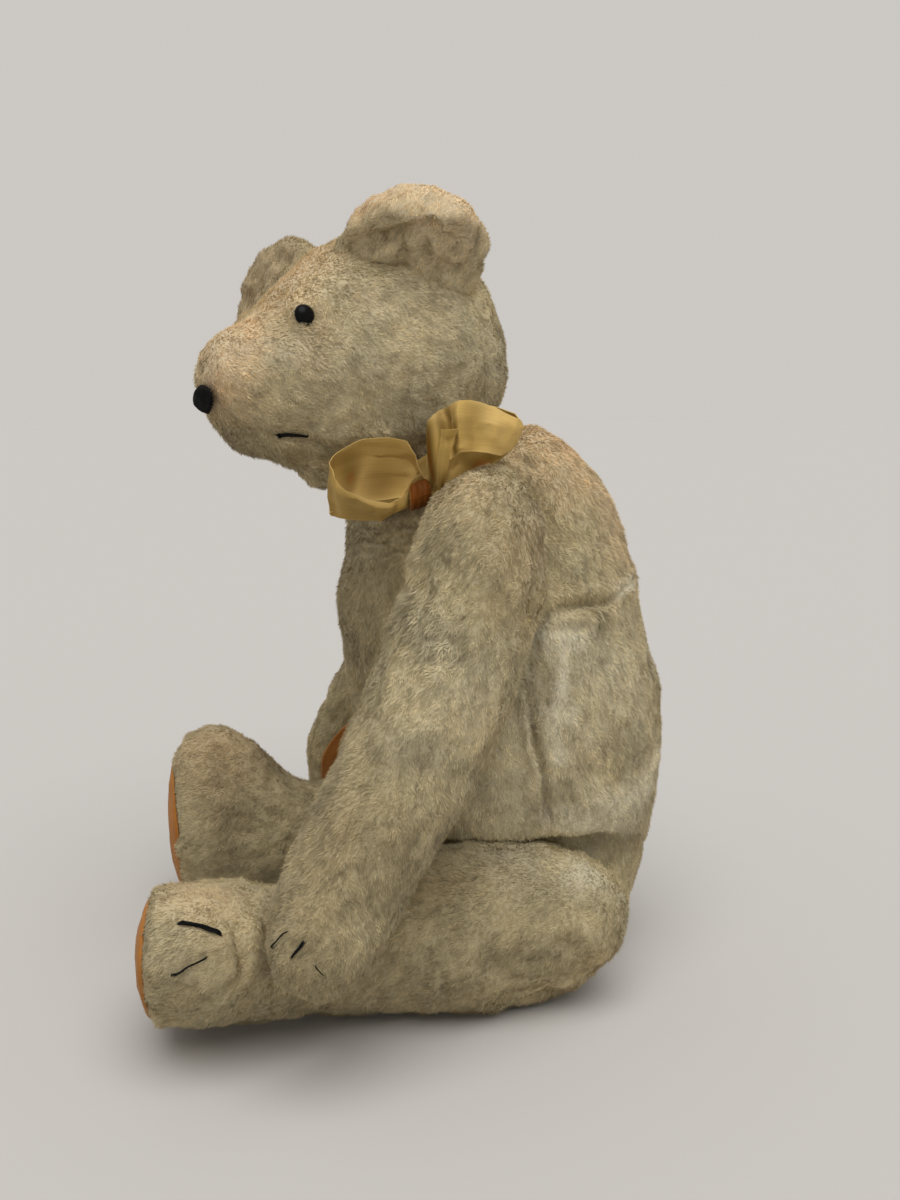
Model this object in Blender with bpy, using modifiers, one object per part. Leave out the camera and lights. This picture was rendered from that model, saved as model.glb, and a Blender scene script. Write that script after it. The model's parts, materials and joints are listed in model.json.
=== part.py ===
"""A worn mohair teddy bear, sitting, with its head, arms and legs on disc joints.

The bear faces -Y and sits on the plane z = 0. Its left side is +X. The origin is in the flat
spot that its body sits on, between the hips. Lengths in the tables are millimetres, and MM
turns them into metres.
"""

import math

import bmesh
import bpy
from mathutils import Matrix, Vector
from mathutils.bvhtree import BVHTree

MM = 0.001

# ---------------------------------------------------------------- driving dimensions (mm)
CLEARANCE = 0.3  # the gap between any two pieces that touch
RING_POINTS = 12  # points round each ring of a soft form's cage
CAGE_GROWTH = 1 / 0.9553  # a subdivided ring of 12 points runs this much inside its cage

NECK_PLACE = (0, -49, 211)
NECK_LEAN = 21  # degrees that the neck's axis leans forward
HEAD_TURN = 34  # degrees that the head looks to its left
NECK_RADIUS = 33

SHOULDER_PLACE = (43, -34, 185)
SHOULDER_SLOPE = 16.5  # degrees that the shoulder's pin points upward, so the arms hang outward
HIP_PLACE = (28.5, -4, 33)
LAP_TOP = 38.5  # how high above the hip's pin the belly hangs over the thigh

SKIN = 2.0  # cloth between a disc and the joint's face
PIN_RADIUS = 1.5
PIN_HOLE_RADIUS = 1.85
PIN_END = 15.5  # how far the hollow for the cotter's end reaches from the joint's face
WASHER_RADIUS = 7.0
WASHER_THICKNESS = 1.0
DISC_THICKNESS = 3.0
DISC_RADIUS = {"neck": 21.0, "shoulder": 15.0, "hip": 18.0}
POCKET_RADIUS = 9.0  # the hollow round the washer and the cotter's end

PAD_THICKNESS = 1.8
STITCH_LIFT = 0.45  # a stitch's gap to the cloth, which bends between the thread's points
RIBBON_THICKNESS = 1.2

# ---------------------------------------------------------------- outlines of the soft forms
# Each station is (centre x, y, z, half width across, half depth, share of twist, rise).
# The first and last stations have no width: they are the rounded ends. The rise moves a
# ring's centre along its own depth, so a twisted foot turns about the leg.
TORSO = [
    (0, 5, -12, 0, 0, 0, 0),
    (0, 3, -4, 24, 27, 0, 0),
    (0, 0, 13, 36, 41, 0, 0),
    (0, -4, 36, 38, 50, 0, 0),
    (0, -8.5, 60, 45, 58, 0, 0),
    (0, -12, 88, 55, 64.5, 0, 0),
    (0, -16, 115, 56, 65, 0, 0),
    (0, -20, 143, 52, 64.5, 0, 0),
    (0, -25.5, 168, 50, 63, 0, 0),
    (0, -32, 189, 46, 58.5, 0, 0),
    (0, -40.5, 204, 42, 46.5, 0, 0),
    (0, -47, 218, 38, 38.5, 0, 0),
    (0, -50, 228, 0, 0, 0, 0),
]
# The head's stations run forward from its back, in the neck's own frame.
HEAD = [
    (0, 53, 40, 0, 0, 0, 0),
    (0, 46, 41, 26, 28, 0, 0),
    (0, 31, 45, 42, 43.5, 0, 0),
    (0, 12, 49.5, 51, 50, 0, 0),
    (0, -8, 52, 51.5, 50.5, 0, 0),
    (0, -25, 53, 45.5, 46.5, 0, 0),
    (0, -39, 53, 37.5, 40, 0, 0),
    (0, -51, 53.5, 30.5, 33.5, 0, 0),
    (0, -62, 53, 26, 28, 0, 0),
    (0, -72, 52, 22, 23.5, 0, 0),
    (0, -81, 51, 15.5, 16.5, 0, 0),
    (0, -86, 50, 0, 0, 0, 0),
]
# The arm's stations run down from the shoulder, in the pin's own frame, with x outward.
ARM = [
    (19, 0, 29, 0, 0, 0, 0),
    (19, 0, 21, 17, 15, 0, 0),
    (19, 0, 5, 25, 23, 0, 0),
    (19.5, -5, -20, 26, 27.5, 0, 0),
    (21, -13, -45, 25.5, 28, 0, 0),
    (23, -25, -70, 24, 26.5, 0, 0),
    (25, -40, -97, 22.5, 24.5, 0, 0),
    (28, -54.5, -123, 21, 23.5, 0, 0),
    (30.5, -65.5, -143, 19.5, 21.5, 0, 0),
    (31.5, -73, -157, 13, 14, 0, 0),
    (31.5, -76, -165, 0, 0, 0, 0),
]
# The leg's stations run forward from the seat, in the hip's own frame, with x outward. The
# last six make the foot, whose toes stand up.
LEG = [
    (22, 32, 6, 0, 0, 0, 0),
    (22, 23, 5.5, 20, 17, 0, 0),
    (22, 7, 3, 28, 29.5, 0, 0),
    (23, -16, 1, 29.5, 34, 0, 0),
    (25.5, -43, 0, 28.5, 33, 0, 0),
    (28, -72, -1.5, 26, 30, 0.2, 0),
    (30, -97, -2.5, 24.5, 28, 0.6, 0),
    (31.5, -112, -3, 24.5, 29, 0.85, 3),
    (32.5, -123.5, -3, 26.5, 37, 1, 9),
    (33, -136, -3, 27, 41.5, 1, 11),
    (33, -148, -3, 27, 41, 1, 11),
    (33, -157, -3, 21, 32, 1, 11),
    (33, -162, -3, 0, 0, 1, 11),
]
TOES_OUT = {1: 62, -1: 8}  # degrees that each foot has rolled outward, left and right
FOOT_LIFT = {1: 0.5, -1: 4}  # how much higher each foot is carried than the table above
ARM_BACK = {1: 0, -1: 7}  # degrees that each arm rests further back than the table above
SIDES = {"left": 1, "right": -1}

# ---------------------------------------------------------------- the face and the trims
EAR_PLACE = {1: (40, 8, 79), -1: (-42, -9, 81)}
EAR_SIZE = (28, 9, 26)
EAR_SPLAY = 50  # degrees that an ear stands out from upright
EAR_OPEN = 18  # degrees that an ear faces outward
EYE_RADIUS = 4
EYE_AIM = {1: (24, -49, 74), -1: (-24, -49, 74)}
NOSE_CENTRE = (-1, 59)
NOSE_SIZE = (7.5, 6.5)
MOUTH_RADIUS = 0.7
MOUTH_CORNER = [(13.5, 40.5), (14.8, 38.7), (15.6, 36.6), (16.3, 33.7)]
CLAW_RADIUS = 0.6
PAW_CLAWS = [
    ((-82.5, -139.5), (-76, -136.5)), ((-75, -144.5), (-69.5, -139)), ((-66, -148), (-64, -152)),
]
FOOT_CLAWS = {  # (degrees round from the toes' tip, front end, back end)
    1: [(-15, -148, -130), (9, -149, -134)],
    -1: [(-38, -148, -131), (-14, -149, -133)],
}
SOLE_SIZE = (22, 35)
PALM_PLACE = (-57, -124)
PALM_SIZE = (15, 29)
PALM_ANGLE = 30

# The bow, in the bear's own frame: (point, direction of the ribbon's width, half the width).
KNOT_PLACE = (43, -58, 206)
KNOT_SIZE = (7, 7, 7.5)
BOW_FRONT = [
    ((44, -57, 205), (0, 0, 1), 4), ((46, -64, 208), (0, 0, 1), 10),
    ((49, -75, 209), (0, 0, 1), 14), ((52, -86, 208.5), (0, -0.1, 1), 14.5),
    ((57, -92, 207), (0.2, -0.2, 1), 14.5), ((63, -89, 206), (0.5, -0.2, 1), 14),
    ((65, -80, 204), (0.7, 0, 0.8), 12), ((60, -70, 203), (0.7, 0.1, 0.8), 10),
    ((52, -62, 204), (0.5, 0.1, 0.9), 7), ((46, -57, 205), (0.2, 0, 1), 4),
]
BOW_BACK = [
    ((45, -57, 206), (0, -0.2, 1), 4), ((47, -49, 213), (0, -0.5, 0.85), 8.5),
    ((50, -38, 220.5), (0, -0.6, 0.8), 12.5), ((53, -27, 227.5), (0, -0.6, 0.8), 12.5),
    ((57, -22, 230), (0, -0.55, 0.85), 10), ((61, -27, 229), (0, -0.6, 0.8), 12.5),
    ((60, -38, 222), (0, -0.6, 0.8), 11.5), ((54, -48, 214), (0, -0.5, 0.85), 8.5),
    ((47, -56, 206), (0, -0.2, 1), 4),
]
ARM_TOP_SWEEP = 31
BAND_RADIUS = 37.4
BAND_LEVELS = (-4, 8.5)

FUR = ("mohair", (0.60, 0.52, 0.40), 0.95, 0.0)
FELT = ("felt", (0.55, 0.27, 0.09), 0.95, 0.0)
FLOSS = ("black_floss", (0.012, 0.011, 0.010), 0.7, 0.0)
BUTTON = ("black_button", (0.01, 0.01, 0.01), 0.25, 0.0)
RIBBON = ("ribbon", (0.62, 0.42, 0.14), 0.6, 0.0)
BOARD = ("hardboard", (0.36, 0.24, 0.14), 0.85, 0.0)
STEEL = ("steel", (0.45, 0.44, 0.42), 0.4, 1.0)


# ---------------------------------------------------------------- scene, materials, objects
def clear_scene():
    for old in list(bpy.data.objects):
        bpy.data.objects.remove(old)


def collection(name):
    made = bpy.data.collections.new(name)
    bpy.context.scene.collection.children.link(made)
    return made


def material(spec):
    name, colour, roughness, metallic = spec
    made = bpy.data.materials.get(name) or bpy.data.materials.new(name)
    made.use_nodes = True
    shader = made.node_tree.nodes["Principled BSDF"]
    shader.inputs["Base Color"].default_value = (*colour, 1)
    shader.inputs["Roughness"].default_value = roughness
    shader.inputs["Metallic"].default_value = metallic
    return made


def place(name, data, spec=None, parent=None, cutter=False):
    """Adds an object with this mesh or curve to the bear, or to the cutters."""
    made = bpy.data.objects.new(name, data)
    (CUTTERS if cutter else BEAR).objects.link(made)
    made.parent = parent
    if spec and not made.data.materials:
        made.data.materials.append(material(spec))
    if cutter:
        made.hide_render = True
        made.display_type = "WIRE"
    return made


def joint_frame(name, place_mm, rotation):
    """An empty on a joint's pin. Its own X or Z axis is the pin's."""
    frame = bpy.data.objects.new(name, None)
    BEAR.objects.link(frame)
    frame.matrix_world = Matrix.Translation(Vector(place_mm) * MM) @ rotation
    return frame


def boolean(target, operation, *others):
    for other in others:
        step = target.modifiers.new(f"{operation.lower()} {other.name}", "BOOLEAN")
        step.operation = operation
        step.object = other


def subdivide(target, levels=1):
    smooth = target.modifiers.new("round", "SUBSURF")
    smooth.levels = smooth.render_levels = levels


def inflate(target, distance_mm):
    grow = target.modifiers.new("grow", "DISPLACE")
    grow.mid_level = 0
    grow.strength = distance_mm * MM


# ---------------------------------------------------------------- basic shapes
def mesh_from(name, build):
    """A mesh made by build(bm), with its faces pointing outward and shaded smooth."""
    bm = bmesh.new()
    build(bm)
    bmesh.ops.recalc_face_normals(bm, faces=bm.faces)
    mesh = bpy.data.meshes.new(name)
    bm.to_mesh(mesh)
    bm.free()
    mesh.shade_smooth()
    mesh.set_sharp_from_angle(angle=math.radians(40))
    return mesh


def box_mesh(name, low, high):
    """A box between two corners, in millimetres."""
    size = [(b - a) * MM for a, b in zip(low, high)]
    middle = [(a + b) / 2 * MM for a, b in zip(low, high)]
    matrix = Matrix.Translation(middle) @ Matrix.Diagonal((*size, 1))
    return mesh_from(name, lambda bm: bmesh.ops.create_cube(bm, size=1, matrix=matrix))


def cylinder_mesh(name, radius, low, high, segments=16, radius_high=None):
    """A cylinder or cone along Z between two heights, in millimetres."""
    matrix = Matrix.Translation((0, 0, (low + high) / 2 * MM))
    top = radius if radius_high is None else radius_high
    return mesh_from(
        name,
        lambda bm: bmesh.ops.create_cone(
            bm, cap_ends=True, segments=segments, radius1=radius * MM, radius2=top * MM,
            depth=(high - low) * MM, matrix=matrix,
        ),
    )


def ball_mesh(name, half_sizes, segments=16, rings=10):
    """An ellipsoid with these half sizes, in millimetres."""
    matrix = Matrix.Diagonal((*[h * MM for h in half_sizes], 1))
    return mesh_from(
        name,
        lambda bm: bmesh.ops.create_uvsphere(
            bm, u_segments=segments, v_segments=rings, radius=1, matrix=matrix
        ),
    )


def turned(name, profile, steps, spec=None, parent=None, cutter=False):
    """A shape turned about Z from (radius, height) pairs in millimetres, top to bottom."""
    mesh = bpy.data.meshes.new(name)
    points = [(radius * MM, 0, height * MM) for radius, height in profile]
    mesh.from_pydata(points, [(i, i + 1) for i in range(len(points) - 1)], [])
    made = place(name, mesh, spec, parent, cutter)
    screw = made.modifiers.new("turn", "SCREW")
    screw.steps = screw.render_steps = steps
    screw.use_merge_vertices = True
    screw.merge_threshold = 0.00005
    return made


def ring_frames(stations, across, side=1, twist=0, lift=0):
    """The centre, the two half axes and the way forward of each ring of a soft form.

    side mirrors the form in x. The twist and the lift grow with each station's share.
    """
    path = [Vector((x * side, y, z + lift * share)) for x, y, z, _, _, share, _ in stations]
    frames = []
    for i in range(1, len(stations) - 1):
        *_, half_width, half_depth, share, rise = stations[i]
        along = (path[i + 1] - path[i - 1]).normalized()
        wide = (Vector(across) - along * along.dot(across)).normalized()
        turn = Matrix.Rotation(math.radians(twist * share) * -side, 3, along)
        wide = turn @ wide
        deep = along.cross(wide)
        frames.append((path[i] + deep * rise, wide * half_width, deep * half_depth, along))
    return path, frames


def loft_mesh(name, stations, across, **options):
    """The coarse cage of a soft form: a ring at each station, square to the path."""
    path, frames = ring_frames(stations, across, **options)

    def build(bm):
        rings = [
            [
                bm.verts.new((centre + (wide * math.cos(a) + deep * math.sin(a)) * CAGE_GROWTH) * MM)
                for a in (2 * math.pi * k / RING_POINTS for k in range(RING_POINTS))
            ]
            for centre, wide, deep, _ in frames
        ]
        tips = [
            frames[0][0] + path[0] - path[1],
            frames[-1][0] + path[-1] - path[-2],
        ]
        ends = [bm.verts.new(tip * MM) for tip in tips]
        for k in range(RING_POINTS):
            following = (k + 1) % RING_POINTS
            bm.faces.new((rings[0][k], rings[0][following], ends[0]))
            bm.faces.new((rings[-1][following], rings[-1][k], ends[1]))
            for low, high in zip(rings, rings[1:]):
                bm.faces.new((low[k], high[k], high[following], low[following]))

    return mesh_from(name, build)


def tube(name, points, radius, spec, parent=None, sides=2, cutter=False):
    """A round thread or wire through these points, in millimetres."""
    curve = bpy.data.curves.new(name, "CURVE")
    curve.dimensions = "3D"
    curve.bevel_depth = radius * MM
    curve.bevel_resolution = sides
    curve.use_fill_caps = True
    spline = curve.splines.new("POLY")
    spline.points.add(len(points) - 1)
    for point, place_mm in zip(spline.points, points):
        point.co = (*(Vector(place_mm) * MM), 1)
    return place(name, curve, spec, parent, cutter)


def strip_mesh(name, path, across, half_widths, closed=False):
    """A flat band along a path: across is its width's direction at each point."""

    def build(bm):
        rows = []
        for point, wide, half in zip(path, across, half_widths):
            edge = Vector(wide).normalized() * half
            rows.append([bm.verts.new((Vector(point) + edge * s) * MM) for s in (-1, 1)])
        pairs = list(zip(rows, rows[1:])) + ([(rows[-1], rows[0])] if closed else [])
        for a, b in pairs:
            bm.faces.new((a[0], b[0], b[1], a[1]))

    return mesh_from(name, build)


# ---------------------------------------------------------------- finding the surface
def surface_of(target):
    """The evaluated surface of an object in its own frame, for laying stitches on it."""
    bpy.context.view_layer.update()
    graph = bpy.context.evaluated_depsgraph_get()
    return BVHTree.FromObject(target, graph)


def on_surface(surface, start_mm, towards, lift_mm):
    """The point where a ray meets the surface, lifted off it, and the normal there."""
    hit, normal, *_ = surface.ray_cast(Vector(start_mm) * MM, Vector(towards).normalized())
    return (hit / MM + normal * lift_mm), normal


# ---------------------------------------------------------------- disc joints
def joint_levels():
    """Heights up a joint's pin: the cloth, the disc and the washer on one side of it."""
    skin = CLEARANCE / 2 + SKIN
    disc = (skin + CLEARANCE, skin + CLEARANCE + DISC_THICKNESS)
    washer = (disc[1] + CLEARANCE, disc[1] + CLEARANCE + WASHER_THICKNESS)
    return skin, disc, washer


def joint_hardware(prefix, kind, frame, to_pin):
    """The two hardboard discs, two washers and cotter pin of one joint.

    to_pin turns Z to the pin's direction, away from the body. The outer pieces are inside the
    limb or the head, and the inner ones inside the body.
    """
    _, disc, washer = joint_levels()
    for where, way in (("outer", 1), ("inner", -1)):
        for piece, radius, levels, steps, spec in (
            ("disc", DISC_RADIUS[kind], disc, 16, BOARD),
            ("washer", WASHER_RADIUS, washer, 12, STEEL),
        ):
            low, high = sorted(level * way for level in levels)
            ring = [
                (PIN_HOLE_RADIUS, high), (radius, high), (radius, low), (PIN_HOLE_RADIUS, low),
                (PIN_HOLE_RADIUS, high),
            ]
            turned(f"{prefix}_{piece}_{where}", ring, steps, spec, frame).matrix_local = to_pin
    grip = washer[1] + CLEARANCE
    profile = [
        (0, grip + 5.2), (2.4, grip + 4.4), (3.6, grip + 2.6), (3.6, grip + 1.0), (2.8, grip),
        (PIN_RADIUS, grip), (PIN_RADIUS, -grip), (3.4, -grip), (4.2, -grip - 1.2),
        (4.2, -grip - 3.2), (2.6, -grip - 4.8), (0, -grip - 5.4),
    ]
    turned(f"{prefix}_cotter_pin", profile, 8, STEEL, frame).matrix_local = to_pin


def joint_hollow(name, kind, way, frame, to_pin):
    """Cuts the space for half a joint's hardware, and the pin's hole through the cloth."""
    skin, disc, _ = joint_levels()
    shelf = disc[1] + CLEARANCE
    rim = DISC_RADIUS[kind] + CLEARANCE
    profile = [
        (0, PIN_END), (POCKET_RADIUS, PIN_END), (POCKET_RADIUS, shelf), (rim, shelf),
        (rim, skin), (PIN_HOLE_RADIUS, skin), (PIN_HOLE_RADIUS, -4), (0, -4),
    ]
    if way < 0:
        profile = [(radius, -height) for radius, height in reversed(profile)]
    made = turned(name, profile, 16, None, frame, cutter=True)
    made.matrix_local = to_pin
    return made


def joint_face(name, radius, reach, way, frame, to_pin):
    """Cuts a form flat where it meets its neighbour. way is +1 for a limb, -1 for the body."""
    near = CLEARANCE / 2 * way
    low, high = sorted((near, -reach * way))
    made = place(name, cylinder_mesh(name, radius, low, high, 32), None, frame, cutter=True)
    made.matrix_local = to_pin
    return made


# ---------------------------------------------------------------- stitched trims
def shell_patch(name, form, cutter, spec, parent, thickness=PAD_THICKNESS):
    """A layer that follows a form's surface a clearance above it, inside the cutter."""
    patch = form.copy()
    patch.data = form.data.copy()
    patch.name = name
    BEAR.objects.link(patch)
    patch.parent = parent
    patch.data.materials.clear()
    patch.data.materials.append(material(spec))
    inflate(patch, CLEARANCE + thickness)
    boolean(patch, "INTERSECT", cutter)
    boolean(patch, "DIFFERENCE", grown_copy(form))
    return patch


def grown_copy(form, distance=CLEARANCE):
    """A cutter a clearance bigger than a form, to seat a trim on it."""
    name = f"{form.name}_grown_{distance}"
    made = bpy.data.objects.get(name)
    if not made:
        made = form.copy()
        made.data = form.data.copy()
        made.name = name
        CUTTERS.objects.link(made)
        made.hide_render = True
        made.display_type = "WIRE"
        inflate(made, distance)
    return made


def stitch_run(surface, starts, towards, radius):
    """Points along a thread that lies on a surface, found by rays from the starts."""
    return [on_surface(surface, start, towards, radius + STITCH_LIFT)[0] for start in starts]


def between(first, last, count):
    """Evenly spaced points from one place to another."""
    return [Vector(first).lerp(Vector(last), k / (count - 1)) for k in range(count)]


# ---------------------------------------------------------------- body, head and limbs
def make_torso():
    torso = place("torso", loft_mesh("torso", TORSO, (1, 0, 0)), FUR)
    subdivide(torso)
    floor = place("floor", box_mesh("floor", (-300, -300, -60), (300, 300, 0)), cutter=True)
    boolean(torso, "DIFFERENCE", floor)
    return torso, floor


def make_limb(name, stations, frame, floor=None, **options):
    limb = place(name, loft_mesh(name, stations, (1, 0, 0), **options), FUR, frame)
    subdivide(limb)
    if floor:
        boolean(limb, "DIFFERENCE", floor)
    return limb


def hip_relief(torso, side, frame):
    """Cuts the body flat where a thigh lies against it and turns."""
    label = frame.name
    way = Matrix.Rotation(math.radians(90 * side), 4, "Y")
    boolean(torso, "DIFFERENCE", joint_face(f"{label}_face", 40, 90, -1, frame, way))
    near = -CLEARANCE / 2 * side
    low, high = sorted((near, 90 * side))
    block = box_mesh(f"{label}_lap", (low, -140, -60), (high, 0, LAP_TOP))
    boolean(torso, "DIFFERENCE", place(f"{label}_lap", block, None, frame, cutter=True))


def make_joint(name, kind, frame, to_pin, limb, body):
    """Hollows both sides of a joint and fills them with its hardware."""
    boolean(limb, "DIFFERENCE", joint_hollow(f"{name}_hollow_outer", kind, 1, frame, to_pin))
    boolean(body, "DIFFERENCE", joint_hollow(f"{name}_hollow_inner", kind, -1, frame, to_pin))
    joint_hardware(name, kind, frame, to_pin)


def make_legs(torso, floor):
    for label, side in SIDES.items():
        spot = (HIP_PLACE[0] * side, *HIP_PLACE[1:])
        frame = joint_frame(f"hip_{label}", spot, Matrix())
        to_pin = Matrix.Rotation(math.radians(90 * side), 4, "Y")
        options = {"side": side, "twist": TOES_OUT[side], "lift": FOOT_LIFT[side]}
        leg = make_limb(f"leg_{label}", LEG, frame, floor, **options)
        make_sole(label, leg, frame, floor, options)
        boolean(leg, "DIFFERENCE", joint_face(f"hip_{label}_inside", 60, 40, 1, frame, to_pin))
        hip_relief(torso, side, frame)
        make_joint(f"hip_{label}", "hip", frame, to_pin, leg, torso)


def make_sole(label, leg, frame, floor, options):
    """The felt sole, and the claw stitches over the toes."""
    _, rings = ring_frames(LEG, (1, 0, 0), **options)
    centre, wide, deep, along = rings[-2]
    outline = place(f"sole_{label}", cylinder_mesh(f"sole_{label}", 1, -12000, 20000, 32),
                    None, frame, cutter=True)
    axes = Matrix((wide.normalized() * SOLE_SIZE[0], deep.normalized() * SOLE_SIZE[1],
                   along * MM)).transposed()
    outline.matrix_local = Matrix.Translation(centre * MM) @ axes.to_4x4()
    pad = shell_patch(f"foot_pad_{label}", leg, outline, FELT, frame)
    boolean(pad, "DIFFERENCE", floor)
    surface = surface_of(leg)
    toes, across = deep.normalized(), wide.normalized()
    for number, (angle, front, back) in enumerate(FOOT_CLAWS[options["side"]], 1):
        way = toes * math.cos(math.radians(angle)) + across * math.sin(math.radians(angle))
        ends = [centre + way * 80 + Vector((0, y - centre.y, 0)) for y in (front, back)]
        run = stitch_run(surface, between(*ends, 7), -way, CLAW_RADIUS)
        tube(f"foot_claw_{label}_{number}", run, CLAW_RADIUS, FLOSS, frame)


def make_arms(torso):
    for label, side in SIDES.items():
        spot = (SHOULDER_PLACE[0] * side, *SHOULDER_PLACE[1:])
        slope = Matrix.Rotation(math.radians(-SHOULDER_SLOPE * side), 4, "Y")
        swing = Matrix.Rotation(math.radians(ARM_BACK[side]), 4, "X")
        frame = joint_frame(f"shoulder_{label}", spot, slope @ swing)
        to_pin = Matrix.Rotation(math.radians(90 * side), 4, "Y")
        arm = make_limb(f"arm_{label}", ARM, frame, side=side)
        make_palm(label, side, arm, frame)
        boolean(arm, "DIFFERENCE", joint_face(f"shoulder_{label}_inside", 60, 40, 1, frame, to_pin))
        boolean(torso, "DIFFERENCE", joint_face(f"shoulder_{label}_face", 34, 60, -1, frame, to_pin))
        make_joint(f"shoulder_{label}", "shoulder", frame, to_pin, arm, torso)


def make_palm(label, side, arm, frame):
    """The felt palm on the hand's inner side, and the claw stitches on its outer side."""
    outline = place(f"palm_{label}", cylinder_mesh(f"palm_{label}", 1, -10000, 22000, 32),
                    None, frame, cutter=True)
    lean = math.radians(PALM_ANGLE)
    axes = Matrix((
        Vector((0, math.cos(lean), -math.sin(lean))) * PALM_SIZE[0],
        Vector((0, math.sin(lean), math.cos(lean))) * PALM_SIZE[1],
        Vector((side * MM, 0, 0)),
    )).transposed()
    outline.matrix_local = Matrix.Translation(Vector((0, *PALM_PLACE)) * MM) @ axes.to_4x4()
    shell_patch(f"paw_pad_{label}", arm, outline, FELT, frame)
    surface = surface_of(arm)
    for number, (first, last) in enumerate(PAW_CLAWS, 1):
        starts = between((90 * side, *first), (90 * side, *last), 5)
        run = stitch_run(surface, starts, (-side, 0, 0), CLAW_RADIUS)
        tube(f"paw_claw_{label}_{number}", run, CLAW_RADIUS, FLOSS, frame)


def make_head(torso):
    lean = Matrix.Rotation(math.radians(NECK_LEAN), 4, "X")
    frame = joint_frame("neck", NECK_PLACE, lean)
    turned_head = bpy.data.objects.new("head_turn", None)
    BEAR.objects.link(turned_head)
    turned_head.parent = frame
    turned_head.rotation_euler.z = math.radians(HEAD_TURN)
    head = make_limb("head", HEAD, turned_head)
    make_face(head, turned_head)
    stub = cylinder_mesh("neck_stub", NECK_RADIUS, CLEARANCE / 2, 26, 32)
    boolean(head, "UNION", place("neck_stub", stub, None, frame, cutter=True))
    boolean(torso, "DIFFERENCE", joint_face("neck_face", 75, 60, -1, frame, Matrix()))
    make_joint("neck", "neck", frame, Matrix(), head, torso)
    return frame


def make_face(head, frame):
    """Ears, button eyes, and the nose and mouth stitched in floss."""
    surface = surface_of(head)
    for label, side in SIDES.items():
        make_ear(label, side, head, frame)
        inside = Vector((0, -20, 55))
        aim = Vector(EYE_AIM[side]) - inside
        spot, out = on_surface(surface, inside + aim * 3, -aim, 0)
        eye = place(f"eye_{label}", ball_mesh("eye", (EYE_RADIUS, EYE_RADIUS, 3)), BUTTON, frame)
        turn = out.to_track_quat("Z", "Y").to_matrix().to_4x4()
        eye.matrix_local = Matrix.Translation((spot + out * 1.2) * MM) @ turn
        boolean(eye, "DIFFERENCE", grown_copy(head))
    across, high = NOSE_CENTRE
    patch = place("nose_outline", cylinder_mesh("nose_outline", 1, 60000, 100000, 24),
                  None, frame, cutter=True)
    axes = Matrix((Vector((NOSE_SIZE[0], 0, 0)), Vector((0, 0, NOSE_SIZE[1])),
                   Vector((0, -MM, 0)))).transposed()
    patch.matrix_local = Matrix.Translation(Vector((across, 0, high)) * MM) @ axes.to_4x4()
    shell_patch("nose", head, patch, FLOSS, frame, 1.6)
    for label, side in SIDES.items():
        starts = [(x * side, -150, z) for x, z in MOUTH_CORNER]
        run = stitch_run(surface, starts, (0, 1, 0), MOUTH_RADIUS)
        tube(f"mouth_{label}", run, MOUTH_RADIUS, FLOSS, frame)


def make_ear(label, side, head, frame):
    """A cupped half disc, seated on the head."""
    ear = place(f"ear_{label}", ball_mesh("ear", EAR_SIZE, 24, 12), FUR, frame)
    splay, opening = math.radians(EAR_SPLAY), math.radians(EAR_OPEN)
    up = Vector((math.sin(splay) * side, 0, math.cos(splay)))
    chord = Vector((math.cos(splay) * math.cos(opening) * side, math.sin(opening),
                    -math.sin(splay) * math.cos(opening)))
    axes = Matrix((chord * side, up.cross(chord * side), up)).transposed().to_4x4()
    ear.matrix_local = Matrix.Translation(Vector(EAR_PLACE[side]) * MM) @ axes
    scoop = place(f"ear_scoop_{label}", ball_mesh("scoop", (34, 22, 34), 24, 12), None, frame, True)
    scoop.matrix_local = ear.matrix_local @ Matrix.Translation((0, -0.0235, 0.001))
    boolean(ear, "DIFFERENCE", scoop, grown_copy(head))


def make_ribbon(neck, *neighbours):
    """The neck ribbon: a band round the neck, a knot at the left and two loops."""
    steps = [2 * math.pi * k / 32 for k in range(32)]
    middle = sum(BAND_LEVELS) / 2
    half = (BAND_LEVELS[1] - BAND_LEVELS[0]) / 2
    circle = [(BAND_RADIUS * math.cos(a), BAND_RADIUS * math.sin(a), middle) for a in steps]
    band = strip_mesh("neck_ribbon", circle, [(0, 0, 1)] * 32, [half] * 32, closed=True)
    ribbon = place("neck_ribbon", band, RIBBON, neck)
    thicken(ribbon)
    knot = place("knot", ball_mesh("knot", KNOT_SIZE, 12, 8), cutter=True)
    knot.location = Vector(KNOT_PLACE) * MM
    boolean(ribbon, "UNION", knot)
    for name, rows in (("bow_front", BOW_FRONT), ("bow_back", BOW_BACK)):
        loop = place(name, strip_mesh(name, *zip(*rows)), cutter=True)
        thicken(loop)
        boolean(ribbon, "UNION", loop)
    boolean(ribbon, "DIFFERENCE", *neighbours)


def shoulder_sweep(frame):
    """The space that the left arm's rounded top turns in."""
    to_pin = Matrix.Rotation(math.radians(90), 4, "Y")
    sweep = cylinder_mesh("shoulder_sweep", ARM_TOP_SWEEP, -0.5, 60, 32)
    made = place("shoulder_sweep", sweep, None, frame, cutter=True)
    made.matrix_local = to_pin
    return made


def thicken(target):
    cloth = target.modifiers.new("cloth", "SOLIDIFY")
    cloth.thickness = RIBBON_THICKNESS * MM
    cloth.offset = 0
    cloth.use_even_offset = True


clear_scene()
BEAR = collection("teddy_bear")
CUTTERS = collection("cutters")
TORSO_FORM, FLOOR = make_torso()
make_legs(TORSO_FORM, FLOOR)
make_arms(TORSO_FORM)
NECK = make_head(TORSO_FORM)
make_ribbon(NECK, grown_copy(TORSO_FORM), shoulder_sweep(bpy.data.objects["shoulder_left"]))
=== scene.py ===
"""The looks of a worn mohair teddy bear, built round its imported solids.

Everything is in metres, +Z up. The bear sits at the origin and faces -Y, with its left side at +X.
"""

import json
import math

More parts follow.
